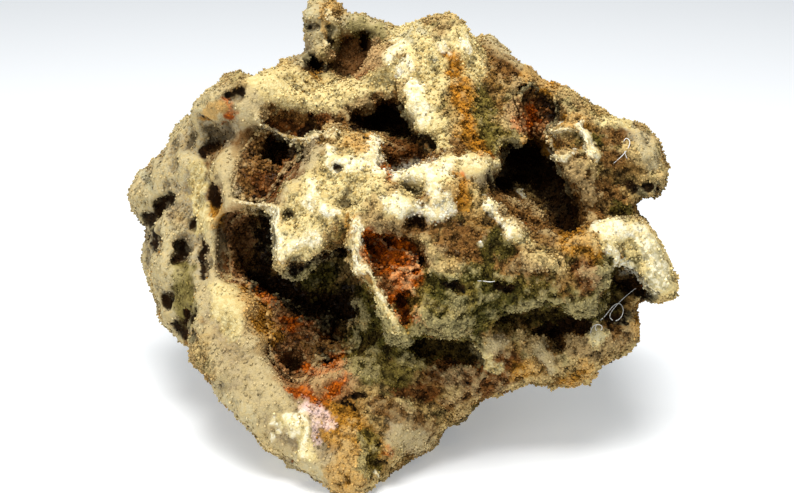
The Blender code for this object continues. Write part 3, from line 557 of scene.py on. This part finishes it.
def sunken(obj, rounds):
    """How far each vertex lies below the evened-out surface, in mm; ridges are negative."""
    edges = np.empty(2 * len(obj.data.edges), dtype=int)
    obj.data.edges.foreach_get("vertices", edges)
    first, second = edges.reshape(-1, 2).T
    places = vertex_places(obj)
    count = len(places)
    neighbours = np.bincount(edges, minlength=count)
    evened = places.copy()
    for _ in range(rounds):
        for axis in range(3):
            column = evened[:, axis]
            total = (np.bincount(first, weights=column[second], minlength=count)
                     + np.bincount(second, weights=column[first], minlength=count))
            evened[:, axis] = (column + total / neighbours) / 2
    return ((evened - places) * vertex_normals(obj)).sum(axis=1) / MM


def keep_attribute(obj, name, values):
    """A number for each vertex, for the finish to read."""
    attribute = obj.data.attributes.new(name, "FLOAT", "POINT")
    attribute.data.foreach_set("value", np.asarray(values, dtype=np.float32))


def stand(obj):
    """Flattens what would reach below the table."""
    places = vertex_places(obj)
    places[:, 2] = np.maximum(places[:, 2], 0.0)
    obj.data.vertices.foreach_set("co", places.ravel())
    obj.data.update()


def calmness(stains):
    """1 on the smooth rind and the weathered side, 0 on granular stone."""
    return np.clip(sum(share * stains[stain] for stain, share in CALM.items()), 0.0, CALMEST)


def weight(obj, name, weights):
    """Adds a vertex group with these weights, in small steps."""
    group = obj.vertex_groups.new(name=name)
    steps = np.round(np.asarray(weights) * WEIGHT_STEPS).astype(int)
    for step in range(1, WEIGHT_STEPS + 1):
        members = np.flatnonzero(steps == step).tolist()
        group.add(members, step / WEIGHT_STEPS, "REPLACE")


noise.seed_set(SEED)
rock = copy_of("rock", "rock_skin")
modify(rock, "REMESH", mode="VOXEL", voxel_size=FIRST_VOXEL * MM)
modify(rock, "SMOOTH", factor=0.5, iterations=2)
modify(rock, "REMESH", mode="VOXEL", voxel_size=ROCK_VOXEL * MM)
zones = painted(vertex_places(rock), in_sight(vertex_places(rock), tree_of(rock)))
weight(rock, "granular", 1.0 - calmness(zones))
weight(rock, "pitted", np.clip(zones["weathered"] + PITTED_CREAM * zones["cream"], 0.0, 1.0))
for kind, size, depth, group in COARSE_RELIEF:
    relief(rock, kind, size, depth, group)
raised = sum(height * zones[stain] for stain, height in HEIGHTS.items())
places = vertex_places(rock) + MM * raised[:, None] * vertex_normals(rock)
rock.data.vertices.foreach_set("co", places.ravel())
modify(rock, "REMESH", mode="VOXEL", voxel_size=ROCK_VOXEL * MM)
rock_tree = tree_of(rock)
sight = in_sight(vertex_places(rock), rock_tree)
weight(rock, "crumbly", 1.0 - calmness(painted(vertex_places(rock), sight)))
for kind, size, depth, group in FINE_RELIEF:
    relief(rock, kind, size, depth, group)
unseen = sight < 0.5
weight(rock, "unseen", unseen * 1.0)
kept_share = (~unseen).mean() + KEPT_UNSEEN / triangle_count(rock)
modify(rock, "DECIMATE", vertex_group="unseen", ratio=min(1.0, kept_share))
rock.vertex_groups.clear()
modify(rock, "DECIMATE", ratio=min(1.0, ROCK_TRIANGLES / triangle_count(rock)))
stand(rock)
bpy.ops.object.shade_smooth()

rock_places = vertex_places(rock)
rock_sight = in_sight(rock_places, rock_tree)
rock_stains = painted(rock_places, rock_sight)
rock_stains["calm"] = calmness(rock_stains)
rock_stains["crevice"] = sunken(rock, FINE_ROUNDS)
rock_stains["hollow"] = sunken(rock, BROAD_ROUNDS)
for stain, amount in rock_stains.items():
    keep_attribute(rock, stain, amount)
keep_attribute(rock, "tone_and_painted_light", np.full(len(rock_places), PLAIN_TONE))


class Field:
    """One output of a node; sums and products of fields add Math nodes."""

    def __init__(self, finish, socket):
        self.finish = finish
        self.socket = socket

    def joined(self, operation, first, second):
        """One Math node that joins two fields or numbers."""
        return self.finish.node("ShaderNodeMath", {"operation": operation}, {0: first, 1: second})

    def __add__(self, other):
        return self.joined("ADD", self, other)

    def __sub__(self, other):
        return self.joined("SUBTRACT", self, other)

    def __rsub__(self, other):
        return self.joined("SUBTRACT", other, self)

    def __mul__(self, other):
        return self.joined("MULTIPLY", self, other)

    __radd__ = __add__
    __rmul__ = __mul__


class Finish:
    """A material whose nodes all come from its node method."""

    def __init__(self, name):
        self.material = bpy.data.materials.new(name)
        self.material.use_nodes = True
        self.tree = self.material.node_tree
        self.shader = self.tree.nodes["Principled BSDF"]

    def node(self, kind, settings, sockets, output=0):
        """Adds a node with its settings and sockets; gives one of its outputs."""
        node = self.tree.nodes.new(kind)
        for name, value in settings.items():
            setattr(node, name, value)
        for key, value in sockets.items():
            self.feed(node.inputs[key], value)
        return Field(self, node.outputs[output])

    def feed(self, socket, value):
        """A socket takes a field or a plain value."""
        if isinstance(value, Field):
            self.tree.links.new(value.socket, socket)
        else:
            socket.default_value = value

    def shade(self, name, value):
        """Feeds a socket of the surface itself."""
        self.feed(self.shader.inputs[name], value)

    def attribute(self, name):
        """A number that the mesh keeps for each vertex."""
        return self.node("ShaderNodeAttribute", {"attribute_name": name}, {}, "Fac")

    def noise(self, size, detail=2.0):
        """Soft noise whose lumps have this size in mm."""
        return self.node("ShaderNodeTexNoise", {},
                         {"Vector": self.places, "Scale": 1 / (size * MM), "Detail": detail})

    def step(self, value, low, high):
        """0 below low, 1 above high, smooth between."""
        return self.node("ShaderNodeMapRange", {"interpolation_type": "SMOOTHSTEP"},
                         {"Value": value, "From Min": low, "From Max": high})

    def mixed(self, share, first, second, blend="MIX"):
        """A colour between two colours."""
        sockets = {0: share, 6: first, 7: second}
        return self.node("ShaderNodeMix", {"data_type": "RGBA", "blend_type": blend}, sockets, 2)

    @property
    def places(self):
        """Where a point is in its object's own space."""
        return self.node("ShaderNodeTexCoord", {}, {}, "Object")


# The bare stone's colours, the pale that ridges turn towards, and the painted shade that hollows
# turn towards
TAN = (0.37, 0.245, 0.085, 1)
GRAIN_BROWN = (0.22, 0.115, 0.028, 1)
OLIVE_BROWN = (0.155, 0.115, 0.032, 1)
PALE = (0.76, 0.64, 0.32, 1)
HOLLOW_SHADE_BROWN = (0.030, 0.011, 0.002, 1)

# How much a stain covers, its main colour and the one it is mottled with. The near-black and the
# dark green are mostly painted shade.
STAIN_COLOURS = {
    "sand": (0.85, (0.375, 0.295, 0.17, 1), (0.31, 0.23, 0.115, 1)),
    "weathered": (0.8, (0.385, 0.335, 0.215, 1), (0.33, 0.25, 0.125, 1)),
    "brown": (0.9, (0.22, 0.105, 0.026, 1), (0.12, 0.050, 0.012, 1)),
    "umber": (0.9, (0.17, 0.052, 0.009, 1), (0.10, 0.036, 0.008, 1)),
    "clay": (0.9, (0.34, 0.165, 0.06, 1), (0.22, 0.09, 0.026, 1)),
    "rust": (0.94, (0.50, 0.108, 0.002, 1), (0.21, 0.036, 0.001, 1)),
    "ochre": (0.85, (0.47, 0.215, 0.020, 1), (0.28, 0.125, 0.014, 1)),
    "olive": (0.85, (0.20, 0.155, 0.030, 1), (0.085, 0.065, 0.012, 1)),
    "moss_and_painted_shade": (0.9, (0.036, 0.035, 0.006, 1), (0.090, 0.070, 0.012, 1)),
    "cream": (0.85, (0.70, 0.59, 0.29, 1), (0.48, 0.36, 0.135, 1)),
    "white": (0.86, (0.90, 0.86, 0.68, 1), (0.62, 0.52, 0.28, 1)),
    "lip": (0.75, (0.80, 0.72, 0.48, 1), (0.55, 0.42, 0.20, 1)),
    "grey": (0.8, (0.42, 0.39, 0.27, 1), (0.24, 0.21, 0.12, 1)),
    "pink": (0.7, (0.84, 0.62, 0.58, 1), (0.62, 0.44, 0.33, 1)),
    "black_and_painted_shade": (0.97, (0.005, 0.002, 0.001, 1), (0.016, 0.007, 0.002, 1)),
}

# Sizes of the stone's pattern in mm, from the widest to the finest
BLOTCHES = 7.0
PATCHES = 2.6
EDGES = 1.0
GRAIN_CELLS = 0.5
GRIT = 0.3

STONE_SHINE = 0.05
BUMP_STRENGTH = 0.8
BUMP_HEIGHT = 0.35


def stone(name, roughness, coat):
    """The rock's finish: granular stone under its stains, with painted shade in its gaps and
    hollows.
    """
    finish = Finish(name)
    blotches = finish.noise(BLOTCHES, 3.0)
    patches = finish.noise(PATCHES, 2.0)
    edges = finish.noise(EDGES, 3.0)
    cells = {"Vector": finish.places, "Scale": 1 / (GRAIN_CELLS * MM)}
    grain_colour = finish.node("ShaderNodeTexVoronoi", {}, cells, "Color")
    grain_away = finish.node("ShaderNodeTexVoronoi", {}, cells, "Distance")
    grain_tone = finish.node("ShaderNodeSeparateColor", {}, {"Color": grain_colour}, "Red")
    fine = finish.noise(GRIT, 2.0)
    crevice = finish.attribute("crevice")
    hollow = finish.attribute("hollow")
    calm = finish.attribute("calm")

    # Bare stone, then each stain over it with a mottled colour and a ragged border
    colour = finish.mixed(finish.step(blotches, 0.4, 0.6), TAN, GRAIN_BROWN)
    colour = finish.mixed(finish.step(patches, 0.50, 0.66) * 0.8, colour, OLIVE_BROWN)
    mottle = finish.step(edges * 0.6 + patches * 0.2 + grain_tone * 0.2, 0.42, 0.58)
    for stain, (cover, first, second) in STAIN_COLOURS.items():
        amount = finish.attribute(stain) + (edges - 0.5) * 1.0 + (patches - 0.5) * 0.7
        share = finish.step(amount, 0.22, 0.78) * cover
        colour = finish.mixed(share, colour, finish.mixed(mottle, first, second))

    # Ridges are paler. Hollows turn towards a painted shade, though less so where brown, clay or
    # rust shows.
    ridge = finish.step(hollow * -1.0 + (edges - 0.5) * 0.8, 0.1, 0.9)
    colour = finish.mixed(ridge * 0.4, colour, finish.mixed(0.6, colour, PALE))
    shown = (finish.attribute("rust") * 0.8 + finish.attribute("clay") * 0.9
             + finish.attribute("brown") * 0.4)
    hollow_shade = finish.step(hollow - shown + (edges - 0.5) * 0.6, 0.1, 1.0)
    colour = finish.mixed(hollow_shade * 0.75, colour, finish.mixed(0.8, colour, HOLLOW_SHADE_BROWN))

    # Each grain has its own tone, with painted shade in the gaps around it. The loose grains add
    # painted highlights on their tips.
    gap_shade = finish.step(crevice * 3.0 + grain_away * 0.9 + (fine - 0.5) * 0.9, 0.35, 1.0)
    grit = 1.0 - calm * 0.65
    tone_and_painted_light = 1.22 - (gap_shade * 0.8 + (grain_tone - 0.5) * -0.5) * grit
    tone_and_painted_light = tone_and_painted_light + (finish.attribute("tone_and_painted_light") - PLAIN_TONE) * 0.9 - calm * 0.15
    grey = finish.node("ShaderNodeCombineColor", {}, {"Red": tone_and_painted_light, "Green": tone_and_painted_light, "Blue": tone_and_painted_light})
    colour = finish.mixed(1.0, colour, grey, "MULTIPLY")

    finish.shade("Base Color", colour)
    finish.shade("Roughness", roughness)
    finish.shade("Coat Weight", coat)
    finish.shade("Specular IOR Level", STONE_SHINE)
    height = (grain_away * -1.0 + grain_tone * 0.4) * grit + fine * 0.7
    bump = {"Strength": BUMP_STRENGTH, "Distance": BUMP_HEIGHT * MM, "Height": height}
    finish.shade("Normal", finish.node("ShaderNodeBump", {}, bump))
    return finish.material


rock.data.materials.append(stone("granular_stone", roughness=0.85, coat=0.0))
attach(rock, "root")
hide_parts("rock")


# The grains
# Quartz grains of less than a millimetre cover the rock like sugar. They grow from the
# skin and take its colour; bare ridges and the weathered left side have fewer.

GRAIN_STEP = 0.62
GRAIN_SIZES = (0.12, 0.34)
GRAIN_LIFT = 0.15
GRAIN_TONES = (-0.1, 0.8)
# How much lighter a grain's outward corners are: a painted highlight on its tip
TIP_HIGHLIGHT = 0.2
GRAINS_A_PIECE = 24000
SIZE_SEED = SEED + 1
GRAIN_SEED = SEED + 10

# The chance that a spot bears a grain, the most of it that stains take away, and how
# strongly each of them does
GRAIN_COVER = 0.75
MOST_BARE = 0.85
BARE = {"white": 1.0, "cream": 0.6, "weathered": 1.0, "sand": 0.95, "black_and_painted_shade": 0.5}

# Points drawn for each square step, of which the first in each cell stays, and the
# numbers that turn a cell's place into one key
DRAWN = 2.2
CELL_KEY = np.array([1, 10007, 10007 ** 2])
TINY_AREA = 1e-15
OCTAHEDRON = np.array([(1, 0, 0), (-1, 0, 0), (0, 1, 0), (0, -1, 0), (0, 0, 1.25), (0, 0, -1.25)])
OCTAHEDRON_FACES = np.array([(0, 2, 4), (2, 1, 4), (1, 3, 4), (3, 0, 4),
                             (2, 0, 5), (1, 2, 5), (3, 1, 5), (0, 3, 5)])


def scattered(obj, step, chance, seed):
    """Random points of a surface, about a step apart: place, normal, a vertex beside it."""
    dice = np.random.default_rng(seed)
    mesh = obj.data
    mesh.calc_loop_triangles()
    corners = np.empty(len(mesh.loop_triangles) * 3, dtype=int)
    mesh.loop_triangles.foreach_get("vertices", corners)
    corners = corners.reshape(-1, 3)
    places = vertex_places(obj)
    first, second, third = (places[corners[:, k]] for k in range(3))
    cross = np.cross(second - first, third - first)
    areas = np.linalg.norm(cross, axis=1) / 2
    count = int(DRAWN * areas.sum() / (step * MM) ** 2)
    faces = dice.choice(len(areas), count, p=areas / areas.sum())
    one, two = dice.random(count), dice.random(count)
    folded = one + two > 1
    one[folded], two[folded] = 1 - one[folded], 1 - two[folded]
    spots = (first[faces] + one[:, None] * (second - first)[faces]
             + two[:, None] * (third - first)[faces])
    normals = cross[faces] / np.maximum(2 * areas[faces], TINY_AREA)[:, None]
    roots = corners[faces, 0]
    kept = dice.random(count) < chance[roots]
    spots, normals, roots = spots[kept], normals[kept], roots[kept]
    cells = np.floor(spots / (step * MM)).astype(np.int64)
    lone = np.unique(cells @ CELL_KEY, return_index=True)[1]
    lone.sort()
    return spots[lone], normals[lone], roots[lone]


def random_turns(count, dice):
    """Random rotation matrices."""
    four = dice.normal(size=(count, 4))
    four /= np.linalg.norm(four, axis=1)[:, None]
    w, x, y, z = four.T
    return np.stack([
        np.stack([1 - 2 * (y * y + z * z), 2 * (x * y - w * z), 2 * (x * z + w * y)], axis=1),
        np.stack([2 * (x * y + w * z), 1 - 2 * (x * x + z * z), 2 * (y * z - w * x)], axis=1),
        np.stack([2 * (x * z - w * y), 2 * (y * z + w * x), 1 - 2 * (x * x + y * y)], axis=1),
    ], axis=1)


def grains(name, spots, normals, sizes, stains, seed):
    """One mesh of small octahedra that stand out of the surface."""
    dice = np.random.default_rng(seed)
    count = len(spots)
    tips = len(OCTAHEDRON)
    turned = np.einsum("nij,kj->nki", random_turns(count, dice), OCTAHEDRON)
    middles = spots + GRAIN_LIFT * MM * normals
    corners = turned * (sizes * MM)[:, None, None] + middles[:, None, :]
    faces = (OCTAHEDRON_FACES[None] + tips * np.arange(count)[:, None, None]).reshape(-1, 3)
    mesh = bpy.data.meshes.new(name)
    mesh.vertices.add(tips * count)
    mesh.vertices.foreach_set("co", corners.ravel())
    mesh.loops.add(3 * len(faces))
    mesh.loops.foreach_set("vertex_index", faces.ravel())
    mesh.polygons.add(len(faces))
    mesh.polygons.foreach_set("loop_start", np.arange(0, 3 * len(faces), 3))
    mesh.update(calc_edges=True)
    mesh.validate()
    obj = bpy.data.objects.new(name, mesh)
    bpy.context.scene.collection.objects.link(obj)
    for stain, amount in stains.items():
        keep_attribute(obj, stain, np.repeat(amount, tips))
    outward = np.einsum("nki,ni->nk", turned, normals)
    # Random tone per grain, and corners that point away from the rock lighter: painted highlights on
    # the tips
    tone_and_painted_light = np.repeat(dice.uniform(*GRAIN_TONES, count), tips) + TIP_HIGHLIGHT * outward.ravel()
    keep_attribute(obj, "tone_and_painted_light", tone_and_painted_light)
    return obj


bare = np.clip(sum(share * rock_stains[stain] for stain, share in BARE.items()), 0, 1)
chance = GRAIN_COVER * (1.0 - MOST_BARE * bare)
chance = np.where(rock_places[:, 2] > GRAIN_SIZES[1] * MM, chance, 0.0)
spots, normals, roots = scattered(rock, GRAIN_STEP, chance, SEED)
dice = np.random.default_rng(SIZE_SEED)
sizes = dice.uniform(*GRAIN_SIZES, len(spots))
order = dice.permutation(len(spots))
skin_of_grains = stone("sugary_grains", roughness=0.7, coat=0.05)
for number in range(math.ceil(len(spots) / GRAINS_A_PIECE)):
    chosen = order[number * GRAINS_A_PIECE:(number + 1) * GRAINS_A_PIECE]
    piece = grains(f"grains_{number + 1}", spots[chosen], normals[chosen], sizes[chosen],
                   {stain: amount[roots[chosen]] for stain, amount in rock_stains.items()},
                   GRAIN_SEED + number)
    piece.data.materials.append(skin_of_grains)
    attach(piece, "root")


# The druses
# In four hollows the quartz crystals are larger and stand close together. Each druse is
# one crust that has grown on the hollow's wall, stained brown to red by iron.

SETTLING = 0.45
BED_PITS = ("VORONOI", 1.5, -0.8)
CRYSTAL_STEP = 0.8
CRYSTAL_SIZES = (0.22, 0.55)
PLACE_SEED = SEED + 30
CRYSTAL_SIZE_SEED = SEED + 40
CRYSTAL_SEED = SEED + 50
DRUSES = {
    "druse_main_hollow": "druse_brown",
    "druse_upper_pocket": "druse_dark",
    "druse_rust_pocket": "druse_rust",
    "druse_round_pocket": "druse_red",
}
glossy_stone = stone("druse_crystals", roughness=0.5, coat=0.06)
for number, (node, slot) in enumerate(DRUSES.items()):
    crust = copy_of(node, node + "_bed")
    modify(crust, "REMESH", mode="VOXEL", voxel_size=ROCK_VOXEL * MM)
    for vertex in crust.data.vertices:
        wall = rock_tree.find_nearest(vertex.co)[0]
        vertex.co = vertex.co.lerp(wall, SETTLING)
    relief(crust, *BED_PITS)
    places = vertex_places(crust)
    stains = painted(places, in_sight(places, rock_tree))
    stains["calm"] = np.zeros(len(places))
    stains["crevice"] = sunken(crust, FINE_ROUNDS)
    stains["hollow"] = sunken(crust, BROAD_ROUNDS)
    for stain, amount in stains.items():
        keep_attribute(crust, stain, amount)
    keep_attribute(crust, "tone_and_painted_light", np.full(len(places), PLAIN_TONE))
    crust.data.materials.append(glossy_stone)
    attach(crust, "root")
    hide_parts(node)
    spots, normals, roots = scattered(crust, CRYSTAL_STEP, np.ones(len(places)), PLACE_SEED + number)
    dice = np.random.default_rng(CRYSTAL_SIZE_SEED + number)
    sizes = dice.uniform(*CRYSTAL_SIZES, len(spots))
    piece = grains(node + "_crystals", spots, normals, sizes,
                   {stain: amount[roots] for stain, amount in stains.items()},
                   CRYSTAL_SEED + number)
    piece.data.materials.append(glossy_stone)
    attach(piece, "root")


# The rims
# Thin pale edges that stand free along the hollows' borders. They are the rock's own
# quartz, left standing where the softer stone beside it has gone.

RIM_VOXEL = 0.2
RIM_REACH = 0.8
RIM_RELIEF = (("CLOUDS", 2.0, 0.8), ("CLOUDS", 0.7, 0.4))
RIM_STAINS = ("lip", "white", "cream", "sand")
RIM_CALM = 0.4
THREAD_TIP = 0.45
RIMS = {
    "shelf_rim": (0.34, [(-25.6, 23), (-24.4, 21.9), (-22.6, 21.1), (-21, 20.4), (-19.4, 19.6),
                         (-17.6, 19.2), (-16, 19.2), (-14.4, 19.7), (-12.6, 20.4)]),
    "hollow_rim": (0.3, [(-29, 8.2), (-27.4, 7.7), (-25.6, 7.5), (-24, 7.4), (-22.8, 7.2)]),
    "rust_rim": (0.36, [(-7.2, 4.6), (-7.9, 2), (-8, -0.4), (-7.2, -3), (-5.8, -4.9), (-4.4, -6.8),
                        (-3, -8.6), (-1.9, -11), (-1.3, -13.4), (-0.2, -15.2)]),
    "net_rim": (0.3, [(28.2, 20.8), (30, 21.3), (32, 21.2), (33.8, 20.6), (34.2, 19), (34.4, 17.4),
                       (35.4, 15.8)]),
}


def ray_to(across, up):
    """The direction from the viewer's eye to a seen place."""
    spot = MM * (MIDDLE + across * ACROSS + up * UPWARD)
    return Vector(spot - EYE).normalized()


def along_rock(path, nearer, reach):
    """The rock's surface along a seen path, at its foremost within this reach."""
    aside = [(0, 0), (reach, 0), (-reach, 0), (0, reach), (0, -reach)]
    depths = []
    for across, up in path:
        casts = [rock_tree.ray_cast(Vector(EYE), ray_to(across + x, up + y))[3] for x, y in aside]
        depths.append(min([cast for cast in casts if cast is not None], default=None))
    known = [depth for depth in depths if depth is not None]
    depths = [np.mean(known) if depth is None else depth for depth in depths]
    padded = np.array([depths[0], *depths, depths[-1]])
    evened = (padded[:-2] + 2 * padded[1:-1] + padded[2:]) / 4
    return [Vector(EYE) + ray_to(*spot) * (depth - nearer * MM)
            for spot, depth in zip(path, evened)]


def thread(name, radius, points):
    """A round thread that follows points, thinner towards its ends."""
    curve = bpy.data.curves.new(name, "CURVE")
    curve.dimensions = "3D"
    curve.bevel_depth = radius * MM
    curve.bevel_resolution = 3
    curve.resolution_u = 6
    curve.use_fill_caps = True
    spline = curve.splines.new("NURBS")
    spline.points.add(len(points) - 1)
    spline.use_endpoint_u = True
    spline.order_u = 4
    for number, (point, place) in enumerate(zip(spline.points, points)):
        point.co = (*place, 1.0)
        point.radius = THREAD_TIP if number in (0, len(points) - 1) else 1.0
    obj = bpy.data.objects.new(name, curve)
    bpy.context.scene.collection.objects.link(obj)
    pick(obj)
    bpy.ops.object.convert(target="MESH")
    return bpy.context.object


for name, (radius, path) in RIMS.items():
    rim = thread(name, radius, along_rock(path, 0.0, RIM_REACH))
    modify(rim, "REMESH", mode="VOXEL", voxel_size=RIM_VOXEL * MM)
    for kind, size, depth in RIM_RELIEF:
        relief(rim, kind, size, depth)
    bpy.ops.object.shade_smooth()
    places = vertex_places(rim)
    for stain, amount in painted(places, np.ones(len(places))).items():
        keep_attribute(rim, stain, amount * (stain in RIM_STAINS))
    keep_attribute(rim, "calm", np.full(len(places), RIM_CALM))
    keep_attribute(rim, "tone_and_painted_light", np.full(len(places), PLAIN_TONE))
    rim.data.materials.append(skin_of_grains)
    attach(rim, "root")


# The lint
# A few household fibres, white and hair-thin. They have caught on the rough stone and
# lie loosely over it.

LINT_RADIUS = 0.07
LINT_LIFT = 0.3
LINT_REACH = 0.3
LINT_WHITE = (0.86, 0.86, 0.84, 1)
LINT = {
    "lint_loop": [(39, 15), (40.5, 16.2), (41.8, 17.8), (42, 19), (41.3, 19.7), (40.6, 18.9),
                  (40.8, 17.3), (41.4, 15.8)],
    "lint_tangle": [(43, -7.5), (41, -9), (39.5, -10.5), (38.3, -12), (38.2, -13), (39.4, -13.6),
                    (40.6, -12.6), (40.8, -11), (40, -10), (38.8, -10.6), (37.6, -12.4),
                    (36.4, -13.4), (35.4, -14.6), (36.2, -15.6), (37.2, -14.6), (36.4, -13.8),
                    (35, -14.2), (34.8, -15.6)],
    "lint_wisp": [(14.5, -6.2), (16, -6.1), (16.8, -6.6), (17.6, -6.2)],
}
lint_finish = Finish("lint_white")
lint_finish.shade("Base Color", LINT_WHITE)
lint_finish.shade("Roughness", 0.7)
for name, path in LINT.items():
    fibre = thread(name, LINT_RADIUS, along_rock(path, LINT_LIFT, LINT_REACH))
    fibre.data.materials.append(lint_finish.material)
    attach(fibre, "root")


# The room
# A pale, faintly glowing table in a white room. One soft lamp hangs above the rock and
# another stands before it at the left; the camera looks down at the rock's front.

TABLE_SIZE = 3000.0
TABLE_WHITE = (0.83, 0.85, 0.88, 1)
TABLE_GLOW = (0.85, 0.90, 0.95, 1)
TABLE_GLOW_STRENGTH = 0.3
ROOM_WHITE = (0.95, 0.98, 1.0, 1)
ROOM_STRENGTH = 0.32
bpy.ops.object.select_all(action="DESELECT")
bpy.ops.mesh.primitive_plane_add(size=TABLE_SIZE * MM)
table = bpy.context.object
table.name = "table"
table_finish = Finish("table_white")
table_finish.shade("Base Color", TABLE_WHITE)
table_finish.shade("Roughness", 0.55)
table_finish.shade("Emission Color", TABLE_GLOW)
table_finish.shade("Emission Strength", TABLE_GLOW_STRENGTH)
table.data.materials.append(table_finish.material)

world = bpy.data.worlds.new("room")
world.use_nodes = True
background = world.node_tree.nodes["Background"]
background.inputs["Color"].default_value = ROOM_WHITE
background.inputs["Strength"].default_value = ROOM_STRENGTH
bpy.context.scene.world = world

# Place and width in metres, watts and colour
LAMPS = {
    "lamp_above": ((-0.02, -0.10, 0.56), 0.32, 4.0, (1.0, 0.98, 0.94)),
    "lamp_front": ((-0.30, -0.50, 0.30), 0.40, 1.2, (1.0, 0.99, 0.97)),
}
for name, (place, size, watts, colour) in LAMPS.items():
    bpy.ops.object.light_add(type="AREA", location=place)
    lamp = bpy.context.object
    lamp.name = name
    lamp.data.size = size
    lamp.data.energy = watts
    lamp.data.color = colour
    aim = Vector(MM * MIDDLE) - Vector(place)
    lamp.rotation_euler = aim.to_track_quat("-Z", "Y").to_euler()

LENS = 63.0
NEAREST_SHOWN = 10.0
camera_data = bpy.data.cameras.new("camera")
camera_data.lens = LENS
camera_data.clip_start = NEAREST_SHOWN * MM
camera = bpy.data.objects.new("camera", camera_data)
camera.location = EYE
camera.rotation_euler = Vector(-TOWARD).to_track_quat("-Z", "Y").to_euler()
bpy.context.scene.collection.objects.link(camera)
bpy.context.scene.camera = camera
bpy.context.scene.view_settings.view_transform = "Standard"
